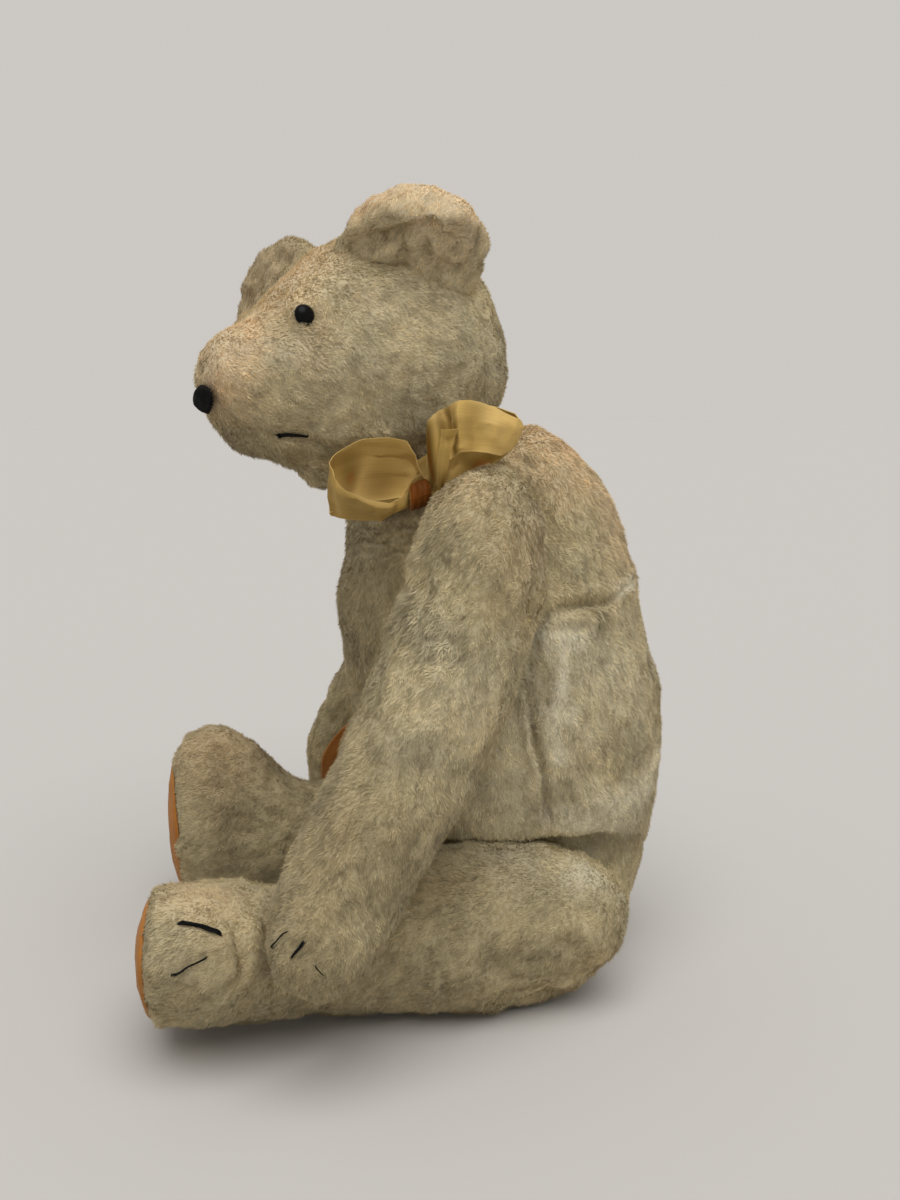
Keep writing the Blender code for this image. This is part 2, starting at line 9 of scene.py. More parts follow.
import bpy
import numpy as np
from mathutils import Matrix, Vector
from mathutils.bvhtree import BVHTree

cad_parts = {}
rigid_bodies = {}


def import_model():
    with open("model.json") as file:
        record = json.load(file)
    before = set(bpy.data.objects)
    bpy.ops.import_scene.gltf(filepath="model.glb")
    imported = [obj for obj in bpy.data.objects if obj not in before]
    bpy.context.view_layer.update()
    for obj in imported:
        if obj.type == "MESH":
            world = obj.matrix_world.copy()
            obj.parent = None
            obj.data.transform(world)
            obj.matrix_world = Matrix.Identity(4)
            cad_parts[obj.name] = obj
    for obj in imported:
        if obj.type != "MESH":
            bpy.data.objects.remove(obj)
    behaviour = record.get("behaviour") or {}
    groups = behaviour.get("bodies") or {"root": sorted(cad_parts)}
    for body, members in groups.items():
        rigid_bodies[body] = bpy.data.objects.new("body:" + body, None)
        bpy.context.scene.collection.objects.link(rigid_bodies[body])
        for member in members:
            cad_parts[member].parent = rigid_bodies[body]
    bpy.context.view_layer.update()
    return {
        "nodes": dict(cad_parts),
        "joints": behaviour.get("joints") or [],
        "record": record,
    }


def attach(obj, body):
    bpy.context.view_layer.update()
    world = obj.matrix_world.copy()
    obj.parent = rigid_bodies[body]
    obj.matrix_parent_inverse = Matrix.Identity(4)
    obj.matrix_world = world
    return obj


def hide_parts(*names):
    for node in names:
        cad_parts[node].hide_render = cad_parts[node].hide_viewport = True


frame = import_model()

MM = 0.001

# ---------------------------------------------------------------- the view
# A camera a little above the bear, at its left side, as someone sitting beside it sees it.
# It is aimed at the middle of the body.
LOOKED_AT = Vector((0, -40, 156)) * MM
VIEW_SIDE = math.radians(83)
VIEW_HEIGHT = math.radians(10)
VIEW_DISTANCE = 0.548


def placed(name, data):
    """A new object in the scene."""
    made = bpy.data.objects.new(name, data)
    bpy.context.scene.collection.objects.link(made)
    return made


away = Vector((
    math.sin(VIEW_SIDE) * math.cos(VIEW_HEIGHT),
    -math.cos(VIEW_SIDE) * math.cos(VIEW_HEIGHT),
    math.sin(VIEW_HEIGHT),
))
camera = placed("camera", bpy.data.cameras.new("camera"))
camera.location = LOOKED_AT + away * VIEW_DISTANCE
camera.rotation_euler = away.to_track_quat("Z", "Y").to_euler()
camera.data.lens = 39
camera.data.clip_start = 0.01
bpy.context.scene.camera = camera

# ---------------------------------------------------------------- light and floor
# One large soft lamp high over the bear, at its left, and an even pale room round it. The floor
# is plain and pale, and the room behind it is as bright as the floor.
LAMP_FROM = Vector((0.42, 0.02, 0.90))
LAMP_LEVEL = 0.70  # of a white surface that faces the lamp
ROOM_LEVEL = 0.50
PALE = (0.53, 0.51, 0.485)
lamp = placed("lamp", bpy.data.lights.new("lamp", "SUN"))
lamp.rotation_euler = LAMP_FROM.to_track_quat("Z", "Y").to_euler()
lamp.data.energy = math.pi * LAMP_LEVEL
lamp.data.angle = math.radians(55)


def joined(tree, kind, *sources, **settings):
    """A new node with these settings, fed by these sources in the order of its inputs."""
    node = tree.nodes.new(kind)
    for key, value in settings.items():
        setattr(node, key, value)
    for number, source in enumerate(sources):
        if isinstance(source, bpy.types.NodeSocket):
            tree.links.new(source, node.inputs[number])
        elif source is not None:
            node.inputs[number].default_value = source
    return node


world = bpy.data.worlds.new("room")
bpy.context.scene.world = world
world.use_nodes = True
tree = world.node_tree
room = tree.nodes["Background"]
room.inputs["Color"].default_value = (1.0, 0.985, 0.96, 1)
room.inputs["Strength"].default_value = ROOM_LEVEL
far_light = LAMP_LEVEL * LAMP_FROM.normalized().z + ROOM_LEVEL  # as it falls on the floor
backdrop = joined(tree, "ShaderNodeBackground", (*(part * far_light for part in PALE), 1))
seen = tree.nodes.new("ShaderNodeLightPath").outputs["Is Camera Ray"]
pick = joined(tree, "ShaderNodeMixShader", seen, room.outputs[0], backdrop.outputs[0])
tree.links.new(pick.outputs[0], tree.nodes["World Output"].inputs["Surface"])
bpy.context.scene.view_settings.view_transform = "Standard"


def shader_of(name, colour, roughness, **finish):
    """A new material, its node tree and its Principled shader, with these other inputs set."""
    made = bpy.data.materials.new(name)
    made.use_nodes = True
    shader = made.node_tree.nodes["Principled BSDF"]
    shader.inputs["Base Color"].default_value = (*colour, 1)
    shader.inputs["Roughness"].default_value = roughness
    for entry, value in finish.items():
        shader.inputs[entry.replace("_", " ")].default_value = value
    return made, made.node_tree, shader


bpy.ops.object.select_all(action="DESELECT")
bpy.ops.mesh.primitive_circle_add(vertices=96, radius=6, fill_type="NGON", location=(0, 0, 0))
floor = bpy.context.object
floor.name = "floor"
floor.data.materials.append(shader_of("plain_floor", PALE, 0.9)[0])

# ---------------------------------------------------------------- mohair
# Worn mohair plush, as every stuffed part is covered in: a woven back that carries a short pile.
# The pile is creamy at its tips and darker at its roots, with painted shade down in the pile. It
# is faded warm on top, with painted light there too, and soiled in patches, with painted shade in
# its folds, creases and hollows.
CREAM = (0.76, 0.645, 0.39)
GREY = (0.49, 0.42, 0.255)
TAN = (0.67, 0.52, 0.29)
# Faded warm by the sun, and painted light on the top faces it is put on.
SUNNED = (0.92, 0.68, 0.41)
BARE = (0.93, 0.865, 0.66)
# Soil, and painted shade where it is put in folds, creases, hollows and under things.
SOIL = (0.26, 0.195, 0.10)
THROUGH = 0.34  # the share of the light that comes through a lock of pile


def maths(tree, operation, *sources):
    return joined(tree, "ShaderNodeMath", *sources, operation=operation).outputs[0]


def mixed(tree, share, first, second, way="MIX"):
    """Two colours mixed. They are the seventh and eighth inputs of the node."""
    ends = [(*colour, 1) if isinstance(colour, tuple) else colour for colour in (first, second)]
    unused = [None] * 5
    node = joined(tree, "ShaderNodeMix", share, *unused, *ends, data_type="RGBA", blend_type=way)
    return node.outputs[2]


def layered(tree, colour, *coats):
    """A colour with coats over it, each given as (share, colour)."""
    for share, coat in coats:
        colour = mixed(tree, share, colour, coat)
    return colour


def object_place(tree):
    return tree.nodes.new("ShaderNodeTexCoord").outputs["Object"]


def stored(tree, name, kind="Fac"):
    """What a piece has stored at each of its points under this name."""
    return joined(tree, "ShaderNodeAttribute", attribute_name=name).outputs[kind]


def group_of(name, gives, kind, **takes):
    """An empty node group, with the sockets that its inputs and its one output are inside it."""
    tree = bpy.data.node_groups.new(name, "ShaderNodeTree")
    for entry, form in takes.items():
        tree.interface.new_socket(entry, in_out="INPUT", socket_type=f"NodeSocket{form}")
    tree.interface.new_socket(gives, in_out="OUTPUT", socket_type=f"NodeSocket{kind}")
    given = tree.nodes.new("NodeGroupInput").outputs
    return tree, given, tree.nodes.new("NodeGroupOutput").inputs[gives]


# Mottling of any size: noise that runs from least, where it is low, to most, where it is high.
mottled, given, result = group_of(
    "mottled", "Amount", "Float", Place="Vector", Scale="Float", Detail="Float",
    Low="Float", High="Float", Least="Float", Most="Float")
noise = mottled.nodes.new("ShaderNodeTexNoise")
for entry, source in (("Vector", "Place"), ("Scale", "Scale"), ("Detail", "Detail")):
    mottled.links.new(given[source], noise.inputs[entry])
ramp = joined(mottled, "ShaderNodeMapRange", noise.outputs[0],
              *(given[name] for name in ("Low", "High", "Least", "Most")))
mottled.links.new(ramp.outputs[0], result)


def grains(tree, places, scale, detail, low, high, most=1.0, least=0.0):
    """The mottling over these places, with these values."""
    values = (places, scale, detail, low, high, least, most)
    return joined(tree, "ShaderNodeGroup", *values, node_tree=mottled).outputs[0]


# The pile's colour, by its place, by how far along a hair it is, by its lock, and by its wear and
# soil and the light and shade painted into it.
WEAR = ("sunned", "bare", "soiled")
worn_pile, given, result = group_of(
    "worn_pile", "Colour", "Color", Place="Vector", Along="Float", Own="Float",
    Sunned="Float", Bare="Float", Soiled="Float")
colour = layered(
    worn_pile, GREY,
    (grains(worn_pile, given["Place"], 42, 3.0, 0.30, 0.68), CREAM),
    (grains(worn_pile, given["Place"], 26, 2.0, 0.50, 0.72, 0.45), TAN),
    (given["Sunned"], SUNNED),
    (grains(worn_pile, given["Place"], 210, 3.0, 0.42, 0.70, 0.24), GREY),
    (given["Soiled"], SOIL),
    (given["Bare"], BARE),
)
# Darker towards the roots of the hairs and on the woven back below them: painted shade down in the
# pile. Each lock's tone also differs at random.
along = maths(worn_pile, "MULTIPLY_ADD", given["Along"], 0.20, 0.92)
own = maths(worn_pile, "MULTIPLY_ADD", given["Own"], 0.46, 0.76)
depth = maths(worn_pile, "MULTIPLY", along, own)
shade = joined(worn_pile, "ShaderNodeCombineColor", depth, depth, depth).outputs[0]
worn_pile.links.new(mixed(worn_pile, 1.0, colour, shade, "MULTIPLY"), result)


def mohair_material(name, through=0.0):
    """Mohair cloth, or with light coming through it, the pile that stands on it."""
    made, tree, shader = shader_of(name, CREAM, 0.92, Specular_IOR_Level=0.15, Sheen_Weight=0.18,
                                   Sheen_Roughness=0.55, Sheen_Tint=(1.0, 0.93, 0.80, 1))
    marks = [stored(tree, entry) for entry in ("along", "own", *WEAR)]
    colour = joined(tree, "ShaderNodeGroup", object_place(tree), *marks,
                    node_tree=worn_pile).outputs[0]
    tree.links.new(colour, shader.inputs["Base Color"])
    if through:
        lit = joined(tree, "ShaderNodeBsdfTranslucent", colour).outputs[0]
        both = joined(tree, "ShaderNodeMixShader", through, shader.outputs[0], lit).outputs[0]
        tree.links.new(both, tree.nodes["Material Output"].inputs["Surface"])
    return made


mohair = mohair_material("mohair")
standing_pile = mohair_material("mohair_pile", THROUGH)

# ---------------------------------------------------------------- covers
# Each stuffed part is a mohair cover, sewn inside out, turned, and packed hard with wood wool.
# Its joint's disc lies behind the flat face that meets the body, so that face stays flat.
HOLLOW = {"neck": 21.8, "shoulder": 15.8, "hip": 18.8}
CONTACT = {"neck": 32, "shoulder": 24, "hip": 26}
BODY_OF = {node: body for body, held in frame["record"]["behaviour"]["bodies"].items()
           for node in held}
COVERS = {}
SIDES = {"left": 1, "right": -1}


def numbers(items, name, width=3, kind=float):
    """One value, or a row of them, for each of a mesh's points, faces or corners."""
    found = np.empty(len(items) * width, np.float32 if kind is float else np.int32)
    items.foreach_get(name, found)
    found = found.astype(kind)
    return found.reshape(-1, width) if width > 1 else found


def unit(rows):
    return rows / np.maximum(np.linalg.norm(rows, axis=1, keepdims=True), 1e-12)


def places_of(piece):
    return numbers(piece.data.vertices, "co")


def normals_of(piece):
    return numbers(piece.data.vertex_normals, "vector")


def put(piece, places):
    piece.data.vertices.foreach_set("co", places.astype(np.float32).ravel())
    piece.data.update()


def give(piece, name, values):
    """Stores one value for each point, for the piece's material to read."""
    layer = piece.data.attributes.new(name, "FLOAT", "POINT")
    layer.data.foreach_set("value", values.astype(np.float32))


def lumps(places, size, seed):
    """Smooth random values from -1 to 1 over space, which change over about this size."""
    table = np.random.default_rng(seed).uniform(-1, 1, (32, 32, 32))
    scaled = np.asarray(places) / (size * MM) + 7.3 * seed
    cell = np.floor(scaled).astype(int)
    part = scaled - cell
    part = part * part * (3 - 2 * part)
    found = np.zeros(len(scaled))
    for corner in np.ndindex(2, 2, 2):
        near = np.where(corner, part, 1 - part).prod(axis=1)
        i, j, k = ((cell + corner) % 32).T
        found += near * table[i, j, k]
    return found


def gusts(places, size, seed):
    """A smooth random direction and strength at each place."""
    return np.stack([lumps(places, size, seed + n) for n in (0, 11, 22)], 1)


def off_line(places, line):
    """How far each place is from a line or spot in millimetres, and how far along it that is."""
    line = np.atleast_2d(np.asarray(line, float)) * MM
    if len(line) == 1:
        line = np.repeat(line, 2, 0)
    best, where = np.full(len(places), np.inf), np.zeros(len(places))
    for number, (start, end) in enumerate(zip(line, line[1:])):
        run = end - start
        share = np.clip((places - start) @ run / max(run @ run, 1e-12), 0, 1)
        gap = np.linalg.norm(places - start - share[:, None] * run, axis=1)
        nearer = gap < best
        best[nearer], where[nearer] = gap[nearer], (number + share[nearer]) / (len(line) - 1)
    return best / MM, where


def bell(distance, width):
    return np.exp(-((distance / width) ** 2))


def push(piece, amount):
    """Moves a cover's points along their normals, outward for a positive amount in mm."""
    put(piece, places_of(piece) + normals_of(piece) * amount[:, None] * MM)


def furrow(piece, line, depth, width, lips=0.35):
    """Presses a fold or a sewn line into a cover, with its cloth bulging on both sides.

    The furrow fades out at its two ends. A depth below zero raises a ridge.
    """
    gap, where = off_line(places_of(piece), line)
    fade = np.clip(np.minimum(where, 1 - where) * 6, 0.05, 1) ** 0.5
    groove = bell(gap, width) - lips * bell(gap - 2.2 * width, width)
    push(piece, -groove * fade * depth)


def crumple(piece, seed, *sizes):
    """Small random lumps of the stuffing, as (height, size) in millimetres."""
    places = places_of(piece)
    push(piece, sum(high * lumps(places, size, seed + n) for n, (high, size) in enumerate(sizes)))


def merged(shapes):
    """The points and faces of several shapes as those of one."""
    points, faces = [], []
    for more, ends in shapes:
        faces += [tuple(v + len(points) for v in face) for face in ends]
        points += [tuple(place) for place in more]
    return points, faces


def net_faces(rows, columns, rings=True, first=0):
    """Faces with four corners between rows of points, closed round where the rows are rings."""
    return [(a + j, a + columns + j, a + columns + k, a + k)
            for a in range(first, first + (rows - 1) * columns, columns)
            for j in range(columns if rings else columns - 1) for k in [(j + 1) % columns]]


def surface_tree(*pieces):
    """The surface of these pieces, or CAD nodes by name, for finding what is near it."""
    meshes = [(frame["nodes"][p] if isinstance(p, str) else p).data for p in pieces]
    return BVHTree.FromPolygons(*merged(
        ([vertex.co for vertex in mesh.vertices], [face.vertices for face in mesh.polygons])
        for mesh in meshes))


def gap_to(tree, places, limit):
    """How far each place is from a surface in millimetres, and no more than the limit."""
    found = np.full(len(places), float(limit))
    for number, place in enumerate(places):
        gap = tree.find_nearest(place, limit * MM)[3]
        if gap is not None:
            found[number] = gap / MM
    return found


def pins_of(node):
    """The place, outward way and kind of each joint pin that goes into a stuffed part."""
    middle = places_of(frame["nodes"][node]).mean(0)
    found = []
    for joint in frame["joints"]:
        if BODY_OF[node] in (joint["parent"], joint["child"]):
            pin, way = np.array(joint["pos_m"]), np.array(joint["axis"])
            kind = joint["name"].split("_")[0]
            found.append((pin, -way * np.sign((middle - pin) @ way), kind))
    return found


def from_pin(places, pin, outward):
    """How deep in the part each place is from the joint's face, and how far off the pin, in mm."""
    off = places - pin
    depth = -off @ outward
    across = np.linalg.norm(off + depth[:, None] * outward, axis=1)
    return depth / MM, across / MM


def chosen(piece):
    """Makes a piece the active one and the only one selected."""
    bpy.ops.object.select_all(action="DESELECT")
    bpy.context.view_layer.objects.active = piece
    piece.select_set(True)
    return piece


def applied(piece, kind, **settings):
    """Finishes a piece with one modifier."""
    made = piece.modifiers.new(kind, kind)
    for key, value in settings.items():
        setattr(made, key, value)
    chosen(piece)
    bpy.ops.object.modifier_apply(modifier=kind)


def cover_of(node, grain=4.0):
    """A copy of a stuffed part's solid, closed over its joint hollows and laid out evenly."""
    cover = chosen(placed(f"{node}_cover", frame["nodes"][node].data.copy()))
    cover.data.materials.clear()
    cover.data.materials.append(mohair)
    bpy.ops.object.mode_set(mode="EDIT")
    bpy.ops.mesh.select_all(action="SELECT")
    bpy.ops.mesh.remove_doubles(threshold=0.02 * MM)
    bpy.ops.mesh.select_all(action="DESELECT")
    bpy.ops.object.mode_set(mode="OBJECT")
    middles = numbers(cover.data.polygons, "center")
    inside = np.zeros(len(middles), bool)
    for pin, outward, kind in pins_of(node):
        depth, across = from_pin(middles, pin, outward)
        inside |= (depth > 0.6) & (depth < 17) & (across < HOLLOW[kind])
    cover.data.polygons.foreach_set("select", inside)
    bpy.ops.object.mode_set(mode="EDIT")
    bpy.ops.mesh.delete(type="FACE")
    bpy.ops.mesh.select_all(action="SELECT")
    bpy.ops.mesh.fill_holes(sides=0)
    bpy.ops.object.mode_set(mode="OBJECT")
    cover.data.remesh_voxel_size = grain * MM
    bpy.ops.object.voxel_remesh()
    bpy.ops.object.shade_smooth()
    return cover


def joint_share(node, places):
    """1 where a part lies against its neighbour at a joint, falling to 0 away from there."""
    share = np.zeros(len(places))
    for pin, outward, kind in pins_of(node):
        depth, across = from_pin(places, pin, outward)
        flat = np.clip(1 - (depth - 1) / 5, 0, 1) * (depth > -8)
        share = np.maximum(share, flat * np.clip((CONTACT[kind] + 4 - across) / 5, 0, 1))
    return share


def eased(piece, share, times):
    """Evens out a cover where share is 1, and leaves it alone where share is 0."""
    a, b = numbers(piece.data.edges, "vertices", 2, int).T
    places = places_of(piece)
    count = np.bincount(np.r_[a, b], minlength=len(places))[:, None]
    for _ in range(times):
        total = np.zeros_like(places)
        np.add.at(total, a, places[b])
        np.add.at(total, b, places[a])
        places += (total / np.maximum(count, 1) - places) * share[:, None] * 0.6
    put(piece, places)


PRESSURE = 4
PACKING_STEPS = 20


def stuff(cover, node, reach=1.9, shrink=0.7):
    """Packs a cover, held at its joints: taken in by shrink, pressed out by no more than reach."""
    held = joint_share(node, places_of(cover))
    push(cover, -(1 - held) * shrink)
    group = cover.vertex_groups.new(name="held")
    for number in np.flatnonzero(held > 0.3):
        group.add([int(number)], float(held[number]), "REPLACE")
    start = places_of(cover)
    packed = cover.modifiers.new("packed", "CLOTH")
    packed.settings.use_pressure = True
    packed.settings.uniform_pressure_force = PRESSURE
    packed.settings.effector_weights.gravity = 0
    packed.settings.vertex_group_mass = "held"
    packed.settings.shrink_min = -0.04
    packed.point_cache.frame_end = PACKING_STEPS
    for step in range(1, PACKING_STEPS + 1):
        bpy.context.scene.frame_set(step)
    chosen(cover)
    bpy.ops.object.modifier_apply(modifier="packed")
    bpy.context.scene.frame_set(1)
    moved = places_of(cover) - start
    far = np.linalg.norm(moved, axis=1, keepdims=True)
    put(cover, start + moved * np.minimum(1, reach * MM / np.maximum(far, 1e-9)))
    cover.vertex_groups.clear()
    applied(cover, "SUBSURF", levels=1, render_levels=1)


BACKING = -1.1  # as if this far down a hair: the woven back is in the pile's shade
SAT_ON = 0.2 * MM  # how high over the floor the underside is kept


def wear(cover, **marks):
    """Gives a cover its marks of age and soil, and of painted light and shade: for each kind,
    (spot or line, reach, strength) in millimetres.
    """
    places = places_of(cover)
    edge = 1 + 0.45 * lumps(places, 11, 3) + 0.25 * lumps(places, 4, 5)
    for kind in (*WEAR, "tufted"):
        share = np.zeros(len(places))
        for line, reach, strength in marks.get(kind, ()):
            share = np.maximum(share, strength * bell(off_line(places, line)[0] * edge, reach))
        give(cover, kind, share.clip(0, 1))
    give(cover, "along", np.full(len(places), BACKING))
    give(cover, "own", np.full(len(places), 0.5))


def dress(cover, node):
    """Says what a finished cover is and where it goes. What it sits on presses it flat."""
    COVERS[node] = cover
    put(cover, np.maximum(places_of(cover), (-1, -1, SAT_ON)))
    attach(cover, BODY_OF[node])
    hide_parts(node)


# ---------------------------------------------------------------- pile
# The mohair pile that still stands on a cover: short hairs in locks, each brushed its own way.
# Each lock is one slim face, rooted in the cover. None stand where parts meet or pads are sewn.
LOCK_WIDTH = 0.29
ROOTED = 0.2 * MM
RISES = 24  # degrees from the cover
SOFTEN = 0.86  # how far a lock is shaded as the cover under it
STREAKED = 0.65  # how far its colour and shade run on along the combing
LOCK_ON_MAP = np.array([(0.15, 0.15), (0.15, 0.85), (0.85, 0.5)])  # in its own square of the map


def lay_pile(node, count, comb, seed, length=2.0, clear_of=(), margin=0.7):
    """Plants locks all over a part's cover, combed this way. Their length is in millimetres."""
    rng = np.random.default_rng(seed)
    cover = COVERS[node]
    mesh = cover.data
    mesh.calc_loop_triangles()
    corners = numbers(mesh.loop_triangles, "vertices", 3, int)
    places = places_of(cover)
    growth = (1 - joint_share(node, places)) * (places[:, 2] > 1.0 * MM)
    a, b, c = (places[corners[:, n]] for n in range(3))
    area = np.linalg.norm(np.cross(b - a, c - a), axis=1) * growth[corners].mean(1)
    face = np.searchsorted(np.cumsum(area) / area.sum(), rng.random(count)).clip(0, len(area) - 1)
    share = rng.dirichlet((1, 1, 1), count)

    def spread(values):
        return (values[corners[face]] * share.reshape(count, 3, *([1] * (values.ndim - 1)))).sum(1)

    if clear_of:
        kept = gap_to(surface_tree(*clear_of), spread(places), margin + 1) > margin
        face, share = face[kept], share[kept]
        count = len(face)
    root, out = spread(places), unit(spread(normals_of(cover)))
    worn = {kind: spread(numbers(mesh.attributes[kind].data, "value", 1))
            for kind in (*WEAR, "tufted")}
    combing = unit(np.tile(np.array(comb, float), (count, 1)))
    drawn = root - STREAKED * combing * (root * combing).sum(1)[:, None]
    lie = combing + 0.60 * gusts(root, 17, seed) + 0.45 * gusts(root, 4.5, seed + 40)
    lie += 0.45 * gusts(root, 1.8, seed + 60) + 0.32 * rng.normal(size=(count, 3))
    lie = unit(lie - (lie * out).sum(1)[:, None] * out)
    rise = RISES + 12 * lumps(root, 3.5, seed + 3) + 6 * rng.normal(size=count)
    rise = np.radians(rise + 12 * worn["tufted"]).clip(0.12, 1.2)[:, None]
    long = length * (1 + 0.25 * lumps(root, 8, seed + 5) + 0.18 * rng.normal(size=count))
    long *= (1 - 0.4 * worn["bare"]) * (1 + 1.3 * worn["tufted"])
    long = long.clip(0.9, 7)[:, None] * MM
    tip = root + (lie * np.cos(rise) + out * np.sin(rise)) * long
    tip[:, 2] = tip[:, 2].clip(0.3 * MM)
    root = root - out * ROOTED
    side = unit(np.cross(lie, out)) * (LOCK_WIDTH * MM * rng.uniform(0.7, 1.3, count))[:, None]
    points = np.stack([root - side, root + side, tip], 1)
    facing = unit(np.cross(2 * side, tip - root))
    tousled = 0.34 * gusts(drawn, 2.6, seed + 80) + 0.42 * gusts(drawn, 1.2, seed + 90)
    tousled += 0.14 * rng.normal(size=(count, 3))
    facing = unit(out * SOFTEN + facing * (1 - SOFTEN) + tousled)

    pile = bpy.data.meshes.new(f"{node}_pile")
    pile.vertices.add(count * 3)
    pile.vertices.foreach_set("co", points.astype(np.float32).ravel())
    pile.loops.add(count * 3)
    pile.loops.foreach_set("vertex_index", np.arange(count * 3, dtype=np.int32))
    pile.polygons.add(count)
    pile.polygons.foreach_set("loop_start", np.arange(0, count * 3, 3, dtype=np.int32))
    normal = pile.attributes.new("custom_normal", "FLOAT_VECTOR", "POINT")
    normal.data.foreach_set("vector", np.repeat(facing, 3, 0).astype(np.float32).ravel())
    made = placed(f"{node}_pile", pile)
    give(made, "along", np.tile((0.0, 0.0, 1.0), count))
    own = 0.5 + 0.42 * lumps(drawn, 1.0, seed + 7) + 0.70 * (rng.random(count) - 0.5)
    give(made, "own", np.repeat(own, 3))
    for kind in WEAR:
        give(made, kind, np.repeat(worn[kind], 3))
    across = math.ceil(math.sqrt(count))
    number = np.arange(count)
    cell = np.stack([number % across, number // across], 1)[:, None] / across
    layer = pile.uv_layers.new(name="OFBake")
    spots = cell + LOCK_ON_MAP / across
    layer.uv.foreach_set("vector", spots.astype(np.float32).ravel())
    pile.update()
    pile.materials.append(standing_pile)
    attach(made, BODY_OF[node])


# ---------------------------------------------------------------- body
# The body's cover is cut in panels with a seam down each side. Age has folded it across the
# hump, rubbed the left side seam pale, and worn wrinkles in round the neck.
SIDE_SEAM = [(49, -8, 159), (51, -12, 152), (52, -14, 144), (53, -17, 133), (54, -15, 124),
             (55, -14, 116), (55, -13, 107), (54, -10, 97), (53, -9, 87), (50, -7, 77)]
SIDE_HOLLOW = [(51, -9, 150), (53, -12, 140), (54, -11, 130), (54, -10, 120)]
SIDE_RIDGE = [(50, -5, 151), (51, -3, 143), (52, -3, 135), (53, -4, 128), (54, -6, 121),
              (54, -6, 111), (54, -4, 102)]
SOFT_FOLD = [(49, -8, 159), (47, -2, 161), (45, 6, 161), (41, 15, 161), (37, 20, 160.5)]
BACK_FOLD = [(36, 21, 160.5), (33, 25, 164), (26, 31, 166), (18, 35, 166.5), (6, 39, 168),
             (-6, 39, 169), (-18, 34, 171), (-28, 26, 172)]
FRONT_SEAM = [(0, -88, 180), (0, -88, 150), (0, -82, 110), (0, -74, 80)]
NECK_LINE = np.array([(-14, -80, 189), (6, -82, 185), (21, -77, 190), (30, -70, 189),
                      (35, -64, 192), (39, -56, 191)], float)
OVERHANG = 4.6  # how far the cover sags over the thighs
RUMP = 4.5  # how far it bulges behind the hips
torso = cover_of("torso")
places = places_of(torso)
hug = np.zeros(len(places))
for pin, outward, kind in pins_of("torso"):
    if kind == "hip":
        side = np.sign(pin[0])
        depth, across = from_pin(places, pin, outward)
        over = (places[:, 2] > 64 * MM) & (places[:, 1] < 14 * MM)
        sag = bell(places[:, 2] / MM - 72, 5.5) * over * (depth > -28) * (depth < 4)
        behind = (places[:, 1] > 4 * MM) * (places[:, 2] > 45 * MM)
        rump = bell(across - 50, 8) * (depth < 4) * behind
        places[:, 2] -= OVERHANG * MM * sag
        places[:, 0] += (1.5 * sag + RUMP * rump) * side * MM
        hug = np.maximum(hug, bell(across - 41, 5) * bell(depth + 6, 14))
put(torso, places)
eased(torso, hug.clip(0, 1), 5)
stuff(torso, "torso", 1.4)
crumple(torso, 3, (0.9, 15), (0.6, 6.5), (0.3, 3.3))
for line, depth, width, lips in (
    (SIDE_HOLLOW, 2.0, 4.5, 0), (SIDE_SEAM, 4.2, 1.4, 0.35), (SIDE_RIDGE, -1.9, 2.6, 0),
    (np.array(SIDE_SEAM) * (-1, 1, 1), 1.8, 2.0, 0.35), (SOFT_FOLD, 2.8, 2.4, 0.7),
    (BACK_FOLD, 3.0, 1.3, 0.5), (FRONT_SEAM, 0.8, 1.6, 0.35), (NECK_LINE, 2.8, 1.4, 0.6),
    (NECK_LINE - (0, 0, 4.5), 2.5, 1.4, 0.6), (NECK_LINE - (0, 0, 9), 1.2, 1.4, 0.6),
    ([(34, -18, 219), (28, -6, 221), (20, 3, 220)], 1.3, 1.5, 0.6),
    ([(26, -16, 222), (14, -2, 223)], 1.3, 1.5, 0.6),
):
    furrow(torso, line, depth, width, lips)
wear(
    torso,
    # Faded warm, and painted light, on the top of the body, its shoulders and its hump.
    sunned=[((0, 8, 222), 34, 0.75), ((16, 3, 220), 26, 0.7), ((10, 27, 195), 26, 0.5),
            ((0, 36, 176), 24, 0.35)],
    bare=[([(50, -7, 150), (48, 4, 149)], 6.5, 1.0), ([(51, -6, 145), (48, 4, 152)], 4, 1.0),
          (SIDE_RIDGE, 3.2, 1.0), ((53, 0, 119), 4, 0.8),
          (SIDE_RIDGE[-2:], 2.2, 0.9), ([(46, 4, 74), (38, 22, 66)], 11, 0.75),
          ([(44, 14, 78), (26, 44, 84)], 12, 0.6),
          ([(50, -26, 84), (52, -8, 120), (40, 20, 130)], 26, 0.3),
          (BACK_FOLD[1:4], 2.0, 0.9), ((-50, 2, 140), 10, 0.4)],
    # The marks below are partly soil and mostly painted shade: dark lines in the side seams, the
    # side hollow, the folds and the neck's wrinkles, a painted shadow under the bow, a darker
    # chest under the head, and a dark line where the thighs meet the body.
    soiled=[(SIDE_HOLLOW, 5, 0.40), (SIDE_SEAM, 1.8, 1.0), (SOFT_FOLD, 1.6, 0.5),
            (BACK_FOLD, 1.3, 0.6), ((52, -4, 88), 7, 0.45), ((51, 4, 132), 8, 0.25),
            ([(30, -68, 195), (37, -57, 200), (37, -50, 205)], 5, 1.0),
            ([(10, -84, 178), (20, -80, 140)], 34, 0.38), ((32, 31, 58), 7, 0.5),
            ([(30, -60, 72), (32, -30, 68), (32, 0, 68)], 4, 0.5),
            (NECK_LINE, 1.6, 1.0), (NECK_LINE - (0, 0, 4.5), 1.5, 0.9)],
    tufted=[([(44, 8, 158), (39, 18, 158)], 5, 0.5), ([(50, -6, 151), (46, 6, 152)], 5, 0.6)],
)
dress(torso, "torso")
lay_pile("torso", 180000, (0, 0.25, -1.0), 2, clear_of=("neck_ribbon",))

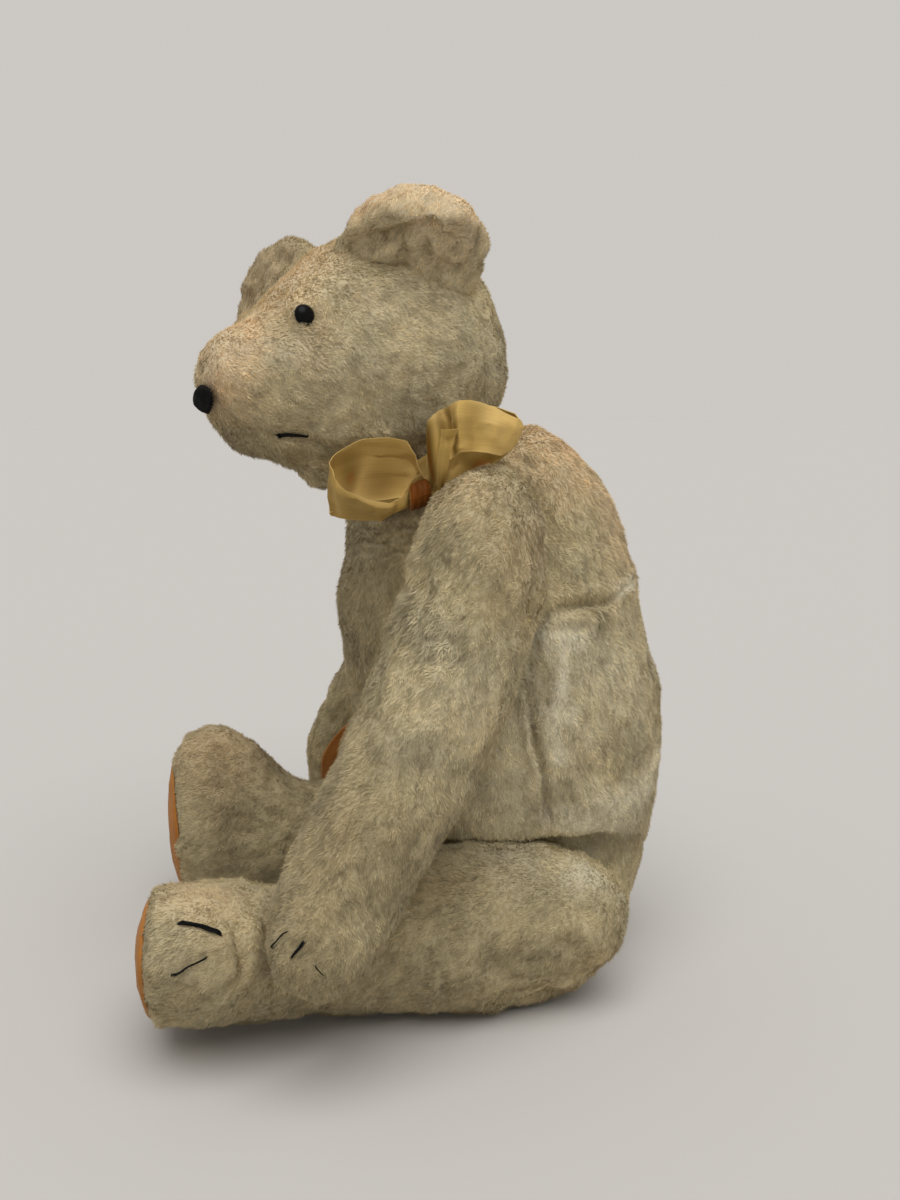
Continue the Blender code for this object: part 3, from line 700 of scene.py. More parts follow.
# ---------------------------------------------------------------- arms
# Two long curved arms of stuffed mohair, tapering to the hand, each on a disc joint at the
# shoulder. The left one is creased and rubbed to a tuft below the shoulder.
TUFT = [(77, -68, 173), (88, -63, 167), (97, -58, 157)]
ARM_MARKS = {
    # Faded warm, and painted light, on the shoulder's top; darker towards the hand and on the
    # shoulder.
    "sunned": [((77, -17, 190), 18, 0.3), ((76, -39, 209), 16, 0.25)],
    "tufted": [(TUFT, 9, 0.9), ((103, -66, 142), 8, 0.4)],
    "bare": [([(78, -67, 172), (90, -62, 165), (98, -56, 156)], 9, 0.4),
             ((100, -55, 140), 26, 0.2)],
    "soiled": [((126, -108, 50), 32, 0.5), ((118, -84, 92), 38, 0.42), ((82, -26, 192), 26, 0.24),
               ((100, -50, 138), 9, 0.2)],
}
for label, side in SIDES.items():
    node = f"arm_{label}"
    arm = cover_of(node)
    stuff(arm, node, 1.2)
    crumple(arm, 5 + side, (1.7, 14), (1.0, 7), (0.35, 3.4))
    if side == 1:
        furrow(arm, [(96, -52, 172), (98, -52, 163), (101, -46, 152), (103, -44, 144)], 1.5, 3.0)
        furrow(arm, [(93, -32, 174), (96, -34, 159), (100, -38, 145)], 1.6, 3.6)
        furrow(arm, [(84, -20, 192), (90, -26, 182), (95, -36, 170)], 1.0, 3.0)
        places = places_of(arm)
        push(arm, bell(off_line(places, TUFT)[0], 13) * (2.6 * lumps(places, 5.5, 61) + 0.6))
    worn = 1 if side == 1 else 0.6  # the right arm's marks are fainter
    wear(arm, **{kind: [(np.array(line) * (side, 1, 1), reach, worn * share)
                        for line, reach, share in spots] for kind, spots in ARM_MARKS.items()})
    dress(arm, node)

# ---------------------------------------------------------------- legs
# Two stout legs of stuffed mohair that end in long upright feet, each on a disc joint at the
# hip. The cloth is gathered round the sole and has wrinkled at the ankle and under the thigh.
# The near leg is darker over the thigh, partly soil and partly painted shade under the arm. It is
# darker low on the foot and has a dark line of painted shade where the thigh meets the body. The
# foot tops are faded, with painted light. The far leg is darker all over.
LEG_MARKS = {
    1: {"soiled": [((105, -145, 40), 20, 0.26), ((80, -110, 12), 22, 0.25),
                   ((76, -45, 44), 60, 0.30),
                   ([(30, -50, 66), (34, -20, 67), (34, 8, 62)], 4, 0.4)],
        "bare": [((60, -20, 66), 14, 0.25), ((60, 6, 58), 12, 0.5), ((97, -150, 52), 8, 0.25)],
        "sunned": [((85, -140, 64), 16, 0.4)]},
    -1: {"soiled": [((-56, -120, 50), 70, 0.36)], "sunned": [((-55, -140, 80), 26, 0.5)],
         "bare": [((-60, -20, 66), 14, 0.3)]},
}
LEG_FOLDS = {
    1: [([(93, -128, 60), (97, -126, 56), (100, -125, 50), (101, -124, 40)], 2.4, 3.0, 0.35),
        ([(101, -124, 41), (104, -130, 37), (105, -136, 33), (106, -142, 34)], 1.2, 2.0, 0.35),
        ([(82, -58, 36), (81, -60, 22)], 1.6, 1.8, 0.5),
        ([(80, -53, 32), (79, -52, 18)], 1.6, 1.8, 0.5),
        ([(82, -47, 34), (77, -44, 16)], 1.6, 1.8, 0.5),
        ([(84, -94, 28), (77, -97, 14)], 1.6, 1.8, 0.5),
        ([(80, -22, 50), (82, -34, 36), (78, -30, 20)], 1.3, 3.2, 0.35)],
    -1: [([(-34, -116, 58), (-52, -118, 66), (-62, -118, 56)], 1.6, 2.8, 0.35)],
}
for label, side in SIDES.items():
    node = f"leg_{label}"
    leg = cover_of(node)
    stuff(leg, node)
    crumple(leg, 9 + side, (1.7, 14), (1.0, 7), (0.35, 3.4))
    rim = gap_to(surface_tree(f"foot_pad_{label}"), places_of(leg), 8)
    push(leg, 1.7 * bell(rim - 2.2, 2.2))
    for line, depth, width, lips in LEG_FOLDS[side]:
        furrow(leg, line, depth, width, lips)
    wear(leg, **LEG_MARKS[side])
    dress(leg, node)

# ---------------------------------------------------------------- head
# The head is a stout wedge of two sides and a gusset, with a long shaved-looking muzzle. It sits
# on the neck's pin, which leans forward, and it is turned to the bear's left.
HEAD_LEAN, HEAD_TURN = 21, 34
HEAD_WAY = np.array(Matrix.Rotation(math.radians(HEAD_LEAN), 3, "X")
                    @ Matrix.Rotation(math.radians(HEAD_TURN), 3, "Z"))
NECK = np.array((0, -49, 211))
MOUTH = [(14.3, -76, 40), (16.8, -66, 34.5), (16.5, -58, 30), (14, -50, 25)]
GUSSET = [(6, -81, 62), (11, -67, 72), (16, -52, 82), (21, -36, 93), (26, -18, 99)]
BROW = [(15, -53, 88), (20, -54, 80), (24, -56, 70)]
HEAD_DENTS = [((29, 44, 58), 3.2, 16), ((9, -45, 90), 2.3, 15), ((11, -22, 98), 1.8, 15),
              ((6, -73, 75), -2.4, 9), ((7, -80, 66), -1.6, 8), ((28, -46, 71), 2.6, 5.5),
              ((28, -43, 85), -1.5, 8), ((20, -68, 66), -0.9, 9)]
THROAT_SAG = np.array((0, -3.0, -6.0)) * MM


def on_head(line):
    """From the head's own millimetres, upright and facing forward, to the bear's."""
    return np.asarray(line, float) @ HEAD_WAY.T + NECK


head = cover_of("head", 3.6)
stuff(head, "head", 1.3, 0.5)
crumple(head, 14, (0.8, 15), (0.8, 6.5), (0.35, 3.3))
places = places_of(head)
throat = bell(off_line(places, on_head([(-6, -45, 12), (10, -45, 12)]))[0], 17)
throat *= np.clip((places[:, 2] / MM - 205) / 6, 0, 1)
put(head, places + throat[:, None] * THROAT_SAG)
for mirror in ((1, 1, 1), (-1, 1, 1)):
    for line, depth, width in ((MOUTH, 1.7, 1.7), (GUSSET, 0.6, 1.5), (BROW, 2.8, 3.4)):
        furrow(head, on_head(np.array(line) * mirror), depth, width)
    for spot, depth, reach in HEAD_DENTS:
        gap = off_line(places_of(head), on_head(np.array(spot) * mirror))[0]
        push(head, -bell(gap, reach) * depth)
wear(
    head,
    # Faded warm, with painted light, on the crown, the forehead and the muzzle's top; painted
    # shade under the chin, below the nose, along the mouth and in the furrows over the eyes.
    sunned=[(on_head((0, -26, 102)), 30, 0.7), (on_head([(6, -80, 64), (8, -66, 76)]), 15, 0.9),
            (on_head((8, -50, 92)), 24, 0.65), (on_head((0, 20, 95)), 26, 0.4)],
    bare=[(on_head((4, -74, 70)), 12, 0.45), (on_head((26, -62, 66)), 9, 0.35),
          (on_head((18, -45, 92)), 14, 0.25), (on_head((30, 0, 60)), 60, 0.22)],
    soiled=[(on_head((0, -76, 33)), 20, 0.50), (on_head([(-10, -79, 42), (10, -79, 42)]), 5, 0.5),
            (on_head(MOUTH), 3, 0.35), (on_head([(20, -54, 81), (25, -54, 71)]), 4, 0.5)],
    tufted=[(on_head((28, -48, 69)), 5, 0.7)],
)
dress(head, "head")
lay_pile("head", 110000, (0.2, 0.9, -0.5), 70, clear_of=("nose",), margin=0.4)

# ---------------------------------------------------------------- ears
# Two cupped ears, each of two layers of mohair with little between them, sewn to the head along
# their roots. The left one is folded at its rim and crumpled.
EAR_LINES = {
    "left": [([(-26, 1), (-19, 5), (-13, 9), (-10, 14), (-5, 21), (0, 24)], 5.0, 1.8),
             ([(-1, 25), (2, 22), (6, 17)], 3.2, 1.5), ([(7, 19), (10, 17), (14, 14)], 2.4, 1.4),
             ([(-8, 12), (-3, 6), (4, -2)], 2.4, 1.7), ([(6, 7), (11, 7), (15, 8)], 2.6, 1.3),
             ([(0, 16), (3, 10), (3, 3)], 1.8, 1.3), ([(18, 24), (19, 15), (17, 8)], 1.8, 1.5),
             ([(10, 3), (13, -1)], 2.0, 1.4), ([(-18, 12), (-12, 20), (-4, 27)], 0.8, 1.6)],
    "right": [([(-18, 6), (-4, 14), (12, 12), (20, 4)], 2.2, 2.4)],
}
EAR_ROLL = [(-25, 0, 9), (-19, 0, 18), (-8, 0, 26), (3, 0, 30), (12, 0, 30)]
# Where an ear's solid is, and where the ear goes: (middle, splay, opening, twist, width, height).
EAR_SOLID = {"left": ((40, 8, 79), 50, 18, 0, 28, 26),
             "right": ((-42, -9, 81), 50, 18, 0, 28, 26)}
EAR_SEWN = {"left": ((36.5, 2, 81.5), 62, 28, 11, 27.5, 33),
            "right": ((-42, -8, 83), 47, 2, 27, 29, 25)}


def ear_axes(side, splay, opening, twist):
    """The ways along an ear's root, out of its back, and from root to rim."""
    splay, opening = math.radians(splay), math.radians(opening)
    tip = Vector((math.sin(splay) * side, 0, math.cos(splay)))
    along = Vector((math.cos(splay) * math.cos(opening), math.sin(opening) * side,
                    -math.sin(splay) * math.cos(opening) * side))
    along = Matrix.Rotation(math.radians(twist), 3, tip) @ along
    return np.array([along, tip.cross(along), tip]) @ HEAD_WAY.T


for label, side in SIDES.items():
    node = f"ear_{label}"
    ear = cover_of(node, 2.2)
    middle, *turns, wide, high = EAR_SOLID[label]
    axes = ear_axes(side, *turns)
    local = (places_of(ear) / MM - on_head(middle)) @ axes.T
    front = np.clip(-(normals_of(ear) @ axes[1]) * 2, 0, 1)
    place, *turns, new_wide, new_high = EAR_SEWN[label]
    local *= (new_wide / wide, 1.0, new_high / high)
    axes = ear_axes(side, *turns)
    flat = np.stack([local[:, 0], 0 * local[:, 0], local[:, 2]], 1) * MM
    if side == 1:
        corner = bell(off_line(flat, (12, 0, 33))[0], 6) + bell(off_line(flat, (27, 0, 24))[0], 6)
        local += unit(local * (1, 0, 1)) * corner[:, None] * 2.5
        local[:, 2] -= 2.6 * bell(off_line(flat, [(-20, 0, 24), (-6, 0, 31)])[0], 7)
        local[:, 1] -= 4.2 * bell(off_line(flat, EAR_ROLL)[0], 5) * front
    local[:, 2] -= 9 * np.clip(1 - local[:, 2] / 9, 0, 1) ** 1.5
    local[:, 1] -= front * 3.5 * np.clip(1 - local[:, 2] / 8, 0, 1) ** 2
    put(ear, (on_head(place) + local @ axes) * MM)
    for line, depth, width in EAR_LINES[label]:
        gap = off_line(flat, [(x, 0, z) for x, z in line])[0]
        push(ear, -front * depth * (bell(gap, width) - 0.4 * bell(gap - 2.4 * width, width)))
    crumple(ear, 21 + side, (1.5, 8), (1.2, 4))
    applied(ear, "SUBSURF", levels=1, render_levels=1)
    rim = on_head(place) + np.array((0, 0, new_high - 2)) @ axes
    roll = on_head(place) + np.array(EAR_ROLL if side == 1 else [(0, 0, new_high)]) @ axes
    creases = [on_head(place) + np.array([(x, -3, z) for x, z in line]) @ axes
               for line, *_ in EAR_LINES[label]]
    # Painted shade lies in each ear's creases and over all of the far ear; the rim and its roll
    # are faded, with painted light.
    rubbed, greyed = (0.35, 0.0) if side == 1 else (0.1, 0.42)
    wear(ear, sunned=[(rim, 30, 0.6), (roll, 8, 0.95)], bare=[(roll, 5, 0.4), (rim, 40, rubbed)],
         soiled=[(crease, 1.6, 0.75) for crease in creases] + [(rim, 60, greyed)])
    dress(ear, node)
    lay_pile(node, 20000, (0.3, 0.3, 0.6), 80 + side, length=1.9)

# ---------------------------------------------------------------- eyes
# Two boot buttons, black and polished once, now scratched dull. Each is sewn on through the
# shank at its back, and the thread has drawn it into the cloth.
def facing_of(node, middle):
    """A flat CAD node's centre, and its axes: its own two long ones and the one facing out."""
    points = places_of(frame["nodes"][node])
    centre = points.mean(0)
    axes = np.linalg.svd(points - centre, full_matrices=False)[2]
    out = axes[2] * np.sign((centre - middle) @ axes[2])
    return centre, axes[0], np.cross(out, axes[0]), out


def settled(piece, material, node, kind):
    """Finishes a trim: its material and slot, the CAD node it stands for and its body."""
    piece.name = piece.data.name = f"{node}_{kind}"
    piece.data.materials.clear()
    piece.data.materials.append(material)
    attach(piece, BODY_OF[node])
    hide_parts(node)


button_black, tree, shader = shader_of("button_black", (0.004, 0.004, 0.004), 0.3,
                                       Specular_IOR_Level=0.09)
scratches = grains(tree, object_place(tree), 1400, 3.0, 0.5, 0.8, 0.46, 0.26)
tree.links.new(scratches, shader.inputs["Roughness"])
HEAD_MIDDLE = on_head((0, -20, 55)) * MM
BUTTON = 4.0
BUTTON_FLAT = 0.72  # its depth as a share of a ball's
BUTTON_FACES = np.array((0.98, -0.02, 0.10))
BUTTON_AT = np.array((0, 3.4, -1.2))  # how far back from its solid each button has been pulled
BUTTON_SUNK = 1.9  # how deep the thread has drawn it in after that
for label, side in SIDES.items():
    node = f"eye_{label}"
    centre, _, upward, _ = facing_of(node, HEAD_MIDDLE)
    bpy.ops.object.select_all(action="DESELECT")
    bpy.ops.mesh.primitive_uv_sphere_add(segments=40, ring_count=24, radius=BUTTON * MM,
                                         location=(0, 0, 0))
    eye = bpy.context.object
    bpy.ops.object.mode_set(mode="EDIT")
    bpy.ops.mesh.bisect(plane_co=(0, 0, -0.3 * MM), plane_no=(0, 0, 1), clear_inner=True,
                        use_fill=True)
    bpy.ops.mesh.inset(thickness=0.5 * MM)
    bpy.ops.mesh.extrude_region_move(TRANSFORM_OT_translate={"value": (0, 0, -0.7 * MM)})
    bpy.ops.transform.resize(value=(0.5, 0.5, 1), center_override=(0, 0, 0))
    bpy.ops.mesh.extrude_region_move(TRANSFORM_OT_translate={"value": (0, 0, -0.9 * MM)})
    bpy.ops.object.mode_set(mode="OBJECT")
    out = unit((BUTTON_FACES * (side, 1, 1) @ HEAD_WAY.T)[None])[0]
    across = unit(np.cross(upward, out)[None])[0]
    upward = np.cross(out, across)
    places = places_of(eye) * (1, 1, BUTTON_FLAT)
    centre = centre + BUTTON_AT @ HEAD_WAY.T * MM - out * BUTTON_SUNK * MM
    put(eye, places @ np.array([across, upward, out]) + centre)
    bpy.ops.object.shade_smooth_by_angle(angle=math.radians(40))
    settled(eye, button_black, node, "button")

# ---------------------------------------------------------------- nose, mouth and claws
# All are stitched in thick black floss: the nose in upright satin stitches side by side, the
# mouth and the claws in single long stitches, now thin, frayed and partly sunk in the pile.
floss, tree, shader = shader_of("floss", (0.006, 0.006, 0.006), 0.8, Specular_IOR_Level=0.1)
faded = mixed(tree, grains(tree, object_place(tree), 300, 2.0, 0.5, 0.75, 0.5),
              (0.005, 0.005, 0.005), (0.018, 0.017, 0.015))
tree.links.new(faded, shader.inputs["Base Color"])
STRANDS = 3  # of floss in one stitch
STRAND_SIDES = 6


def strand(points, radius):
    """A round thread through these places: its points and faces. It thins at both ends."""
    points = np.asarray(points)
    run = unit(np.gradient(points, axis=0))
    side = unit(np.cross(run, run[len(run) // 2] + (0.3, 0.5, 0.2)))
    over = np.cross(run, side)
    angle = np.linspace(0, 2 * math.pi, STRAND_SIDES, endpoint=False)
    share = np.linspace(0, 1, len(points))
    thick = (radius * np.clip(np.minimum(share, 1 - share) * 12, 0.35, 1))[:, None, None]
    rings = points[:, None] + thick * (side[:, None] * np.cos(angle)[None, :, None]
                                       + over[:, None] * np.sin(angle)[None, :, None])
    last = (len(points) - 1) * STRAND_SIDES
    ends = [tuple(range(STRAND_SIDES)), tuple(range(last, last + STRAND_SIDES))[::-1]]
    return rings.reshape(-1, 3), net_faces(len(points), STRAND_SIDES) + ends


def sewn(name, points, faces):
    """A new piece with these points and faces, the only one selected."""
    mesh = bpy.data.meshes.new(name)
    mesh.from_pydata([tuple(place) for place in points], [], faces)
    return chosen(placed(name, mesh))


def threads(runs):
    """One object of round threads, each run being (places, radius)."""
    made = sewn("threads", *merged(strand(places, radius) for places, radius in runs))
    bpy.ops.object.mode_set(mode="EDIT")
    bpy.ops.mesh.select_all(action="SELECT")
    bpy.ops.mesh.normals_make_consistent(inside=False)
    bpy.ops.object.mode_set(mode="OBJECT")
    bpy.ops.object.shade_smooth()
    return made


RUN_POINTS = 22  # along one stitch


def middle_line(node):
    """The line that a stitch's CAD thread follows, from end to end."""
    points = places_of(frame["nodes"][node])
    centre = points.mean(0)
    way = np.linalg.svd(points - centre, full_matrices=False)[2][0]
    along = (points - centre) @ way
    at = np.linspace(along.min(), along.max(), 7)
    near = bell(along[None] - at[:, None], (at[1] - at[0]) * 1.1) + 1e-9
    places = (near @ points) / near.sum(1, keepdims=True)
    places += ((at + centre @ way) - places @ way)[:, None] * way
    return curved(places, RUN_POINTS)


def curved(points, count, straight=0.0):
    """These points on a smooth line, spaced out anew, or partly on the straight runs between."""
    points = np.asarray(points, float)
    at = np.linspace(0, len(points) - 1, count)
    k = np.clip(at.astype(int), 0, len(points) - 2)
    t = (at - k).reshape(-1, *([1] * (points.ndim - 1)))
    ends = np.concatenate([[2 * points[0] - points[1]], points, [2 * points[-1] - points[-2]]])
    a, b, c, d = ends[k], ends[k + 1], ends[k + 2], ends[k + 3]
    smooth = 0.5 * (2 * b + (c - a) * t + (2 * a - 5 * b + 4 * c - d) * t ** 2
                    + (3 * b - a - 3 * c + d) * t ** 3)
    return smooth + (b + (c - b) * t - smooth) * straight


def twisted(line, out, apart, seed):
    """Strands of floss laid half a turn round each other along a line."""
    rng = np.random.default_rng(seed)
    run = unit(np.gradient(line, axis=0))
    side = unit(np.cross(run, out))
    angle = np.linspace(0, math.pi, len(line))[:, None]
    made = []
    for number in range(STRANDS):
        turn = angle + 2 * math.pi * number / STRANDS
        loose = apart * (1 + 0.25 * rng.normal())
        made.append(line + (side * np.cos(turn) + out * np.sin(turn)) * loose * MM)
    return made


SUNK = 0.3  # how far a stitch's ends go under the cover
STANDS = 1.5  # how far its middle stands up from them
STRANDS_APART, STRAND_THICK = 0.55, 0.62  # as shares of how thick the stitch is
MOUTH_STITCH = [(15.2, -72, 37.6), (16.6, -66, 35), (16.9, -60, 32.6)]
# Where the left side's claws have worn to, from their thick ends on.
WORN_TO = {
    "foot_claw_left_1": [(102, -132.5, 57), (102, -140, 60), (100, -148.5, 61)],
    "foot_claw_left_2": [(108, -151, 46), (109, -144, 49), (107, -137, 51.5)],
    "paw_claw_left_1": [(121, -117, 59.5), (123, -113, 63), (124, -110, 67)],
    "paw_claw_left_2": [(128, -104, 65), (128, -106.5, 62), (128, -109, 59)],
    "paw_claw_left_3": [(130, -101, 57), (130, -99.5, 55), (130, -98, 53)],
}
STITCHES = {  # how thick each stitch is, and its share of that at its worn end
    "mouth_left": (0.8, 0.45), "mouth_right": (0.7, 0.45),
    "foot_claw_left_1": (0.85, 0.85), "foot_claw_left_2": (0.50, 0.50),
    "foot_claw_right_1": (0.60, 0.45), "foot_claw_right_2": (0.50, 0.45),
    "paw_claw_left_1": (0.34, 0.60), "paw_claw_left_2": (0.60, 0.50),
    "paw_claw_left_3": (0.30, 0.45), "paw_claw_right_1": (0.34, 0.45),
    "paw_claw_right_2": (0.36, 0.45), "paw_claw_right_3": (0.30, 0.45),
}
for number, (node, (thick, worn_end)) in enumerate(STITCHES.items()):
    kind, label = node.split("_")[0], "left" if "left" in node else "right"
    line = middle_line(node)
    if kind == "mouth":
        line = on_head(np.array(MOUTH_STITCH) * (SIDES[label], 1, 1))
        line = curved(line, RUN_POINTS) * MM
    if node in WORN_TO:
        line = curved(WORN_TO[node], RUN_POINTS) * MM
    on = {"mouth": "head", "foot": f"leg_{label}", "paw": f"arm_{label}"}[kind]
    tree_under = surface_tree(COVERS[on])
    under = np.array([tree_under.find_nearest(Vector(place))[:2] for place in line])
    base = curved(under[[0, 5, 11, 16, 21], 0], RUN_POINTS)
    out = unit(under[:, 1].mean(0)[None]) + 0 * base
    share = np.linspace(0, 1, RUN_POINTS)
    ends = np.clip(np.minimum(share, share[::-1]) * 9, 0, 1)
    line = base + out * ((STANDS * ends[:, None] - SUNK) * MM)
    taper = thick * np.linspace(1.0, worn_end, RUN_POINTS)
    paths = twisted(line, out, STRANDS_APART * taper[:, None], number)
    runs = [(path, STRAND_THICK * taper * MM) for path in paths]
    settled(threads(runs), floss, node, "stitch")

centre, _, _, out = facing_of("nose", HEAD_MIDDLE)
sideways = unit(HEAD_WAY[:, 0][None])[0]
upward = np.cross(out, sideways)
nose_skin = surface_tree("nose")
NOSE_WIDE, NOSE_HIGH, NOSE_STITCHES = 7.2, 4.8, 25
NOSE_STRAND = 0.50 * MM
NOSE_SUNK = 0.9 * MM  # how far each stitch's ends go in
runs = []
rng = np.random.default_rng(9)
for number in range(NOSE_STITCHES):
    x = -1 + 2 * (number + 0.5) / NOSE_STITCHES
    high = math.sqrt(1 - x * x) * NOSE_HIGH * (1 + 0.03 * rng.normal())
    path = []
    for z in np.linspace(-high * (1.12 - 0.35 * x * x), high, 12):
        start = centre + (sideways * x * NOSE_WIDE + upward * z) * MM + out * 12 * MM
        hit = nose_skin.ray_cast(Vector(start), Vector(-out))[0]
        if hit is not None:
            path.append(np.array(hit) + out * 0.05 * MM)
    if len(path) > 3:
        path[0], path[-1] = path[0] - out * NOSE_SUNK, path[-1] - out * NOSE_SUNK
        runs.append((curved(path, 16), NOSE_STRAND))
settled(threads(runs), floss, "nose", "stitches")

# ---------------------------------------------------------------- felt pads
# The soles and palms are ovals of rust-gold wool felt, pulled snug and sewn on from inside, so
# that only a tight seam shows round them. The felt is rubbed paler at its edge.
FELT = (0.32, 0.108, 0.015)
felt, tree, shader = shader_of("felt", FELT, 0.95, Specular_IOR_Level=0.2, Sheen_Weight=0.25,
                               Sheen_Roughness=0.5, Sheen_Tint=(1.0, 0.75, 0.45, 1))
place = object_place(tree)
colour = layered(
    tree, FELT,
    (grains(tree, place, 130, 3.0, 0.35, 0.7), (0.38, 0.14, 0.022)),
    (grains(tree, place, 900, 3.0, 0.4, 0.7, 0.4), (0.24, 0.075, 0.010)),
    (stored(tree, "rubbed"), (0.42, 0.19, 0.045)),
)
tree.links.new(colour, shader.inputs["Base Color"])


def raised(tree, shader, height, distance, strength=1.0):
    """Lets a surface stand up where this height is high, by this distance."""
    bump = tree.nodes.new("ShaderNodeBump")
    bump.inputs["Strength"].default_value = strength
    bump.inputs["Distance"].default_value = distance
    tree.links.new(height, bump.inputs["Height"])
    tree.links.new(bump.outputs["Normal"], shader.inputs["Normal"])


raised(tree, shader, grains(tree, place, 2200, 3.0, 0.2, 0.8), 0.25 * MM)
FELT_THICK = 1.0 * MM
PAD_SEAT = 1.1  # how far under the felt's face its cover is kept
PAD_REACH = 1.12  # how far out that goes, as a share of the pad's half width and height
PAD_RINGS, PAD_SPOKES = 16, 56


def felt_pad(node, part, long_share=1.0):
    """A pad's felt, laid over its CAD solid from its middle to its sewn edge.

    With a long_share below 1, its upper end is that much shorter, under the cover's pile.
    """
    middle = places_of(frame["nodes"][part]).mean(0)
    centre, long_way, wide_way, out = facing_of(node, middle)
    long_way = long_way * np.sign(long_way[2])
    off = places_of(frame["nodes"][node]) - centre
    halves = [np.abs(off @ way).max() for way in (long_way, wide_way)]
    centre = centre - long_way * halves[0] * (1 - long_share)
    halves[0] *= long_share
    skin = surface_tree(node)
    cover = COVERS[part]
    places = places_of(cover)
    off = (places - centre) @ np.stack([long_way / halves[0], wide_way / halves[1], out], 1)
    within = np.linalg.norm(off[:, :2], axis=1)
    for number in np.flatnonzero((within < PAD_REACH) & (off[:, 2] > -8 * MM)):
        hit = skin.ray_cast(Vector(places[number] + out * 0.03), Vector(-out), 0.08)[0]
        if hit is not None:
            over = (places[number] - np.array(hit)) @ out + PAD_SEAT * MM
            share = np.clip((PAD_REACH - within[number]) / 0.12, 0, 1)
            places[number] -= out * max(over, 0) * share
    put(cover, places)
    grid = []
    for ring in range(PAD_RINGS + 1):
        share = math.sin(ring / PAD_RINGS * math.pi / 2) * 0.985
        for spoke in range(PAD_SPOKES if ring else 1):
            turn = 2 * math.pi * spoke / PAD_SPOKES
            reach = share
            hit = None
            while hit is None and reach > share - 0.2:
                start = centre + out * 0.03 + (long_way * halves[0] * math.cos(turn)
                                              + wide_way * halves[1] * math.sin(turn)) * reach
                hit = skin.ray_cast(Vector(start), Vector(-out), 0.08)[0]
                reach -= 0.015
            edge = (ring / PAD_RINGS) ** 8
            grid.append(np.array(hit if hit is not None else start) - out * edge * 1.1 * MM)
    middle_faces = [(0, 1 + k, 1 + (k + 1) % PAD_SPOKES) for k in range(PAD_SPOKES)]
    pad = sewn(node, grid, middle_faces + net_faces(PAD_RINGS, PAD_SPOKES, first=1))
    if normals_of(pad)[0] @ out < 0:
        pad.data.flip_normals()
    share = np.r_[0, np.repeat(np.arange(1, PAD_RINGS + 1) / PAD_RINGS, PAD_SPOKES)]
    pucker = np.tile(np.cos(np.arange(PAD_SPOKES) * math.pi), PAD_RINGS)
    pucker = np.r_[0, pucker] * (share > 0.85)
    push(pad, 0.35 * lumps(places_of(pad), 9, 4) + 0.25 * lumps(places_of(pad), 4, 6)
         + 0.12 * pucker + 0.5 * bell(share - 0.86, 0.10))
    give(pad, "rubbed", (0.55 * bell(share - 0.93, 0.06)).clip(0, 1))
    applied(pad, "SOLIDIFY", thickness=FELT_THICK, offset=-1)
    bpy.ops.object.shade_smooth()
    settled(pad, felt, node, "felt")
    return pad


SOLE_SHOWS = {"left": 0.95, "right": 0.86}  # the rest of its length is under the pile
for label, side in SIDES.items():
    sole = felt_pad(f"foot_pad_{label}", f"leg_{label}", SOLE_SHOWS[label])
    lay_pile(f"leg_{label}", 86000, (0.1 * side, -1.0, -0.35), 50 + side, clear_of=(sole,),
             margin=0.15)
    palm = felt_pad(f"paw_pad_{label}", f"arm_{label}")
    lay_pile(f"arm_{label}", 78000, (0.15 * side, -0.45, -0.85), 30 + side, clear_of=(palm,),
             margin=0.15)

# ---------------------------------------------------------------- ribbon
# One stiff old gold ribbon, crushed to a third of its width round the neck and tied at the left
# in a bow: a cupped front loop, a tall pleated back loop, a small knot and one stray fold.
BOW_FRONT = [
    ((50, -56, 211.5), (49, -56, 209), (48, -56.5, 207), (47, -57, 204.5)),
    ((50, -58, 220), (47, -58, 215), (48, -59, 210), (51, -60, 205.5)),
    ((50, -62, 225.5), (46, -62, 218.5), (47, -63, 211.5), (54, -64.5, 204.5)),
    ((50, -69.5, 227), (45, -69.5, 219.5), (47, -70.5, 211.5), (55, -72, 204)),
    ((50, -79, 226.5), (46, -79, 219.5), (48, -80, 211), (55, -81, 203)),
    ((51, -86.5, 223), (49, -87, 217), (50, -87, 209), (54, -87, 201)),
    ((56, -92, 219.5), (54, -92.5, 214.5), (53, -92.5, 206), (54, -91.5, 199)),
    ((62, -93, 218.5), (61, -93, 212), (58, -92.5, 204.5), (54, -91, 198)),
    ((66, -91, 213), (66, -90, 208), (61, -88.5, 202), (53, -86, 196.5)),
    ((68, -86.5, 209), (68, -84.5, 205.5), (62, -82, 200.5), (52, -79.5, 195.5)),
    ((68, -78, 205.5), (68, -76.5, 202.5), (62, -74, 198.5), (52, -72, 195)),
    ((64, -70.5, 203.5), (64, -69.5, 202), (59, -67.5, 199.5), (52, -65.5, 198.5)),
    ((57, -65, 205), (56, -64.5, 203.5), (54, -63, 201.5), (51, -62, 201)),
    ((55, -62.5, 209), (54, -61.5, 207), (52, -60.5, 204.5), (49, -60, 202)),
    ((52, -60, 211.5), (51, -59, 209.5), (50, -58.5, 206.5), (48, -58, 203)),
    ((51, -57, 213), (50, -57, 211), (48, -57, 208), (47, -57, 205.5)),
]
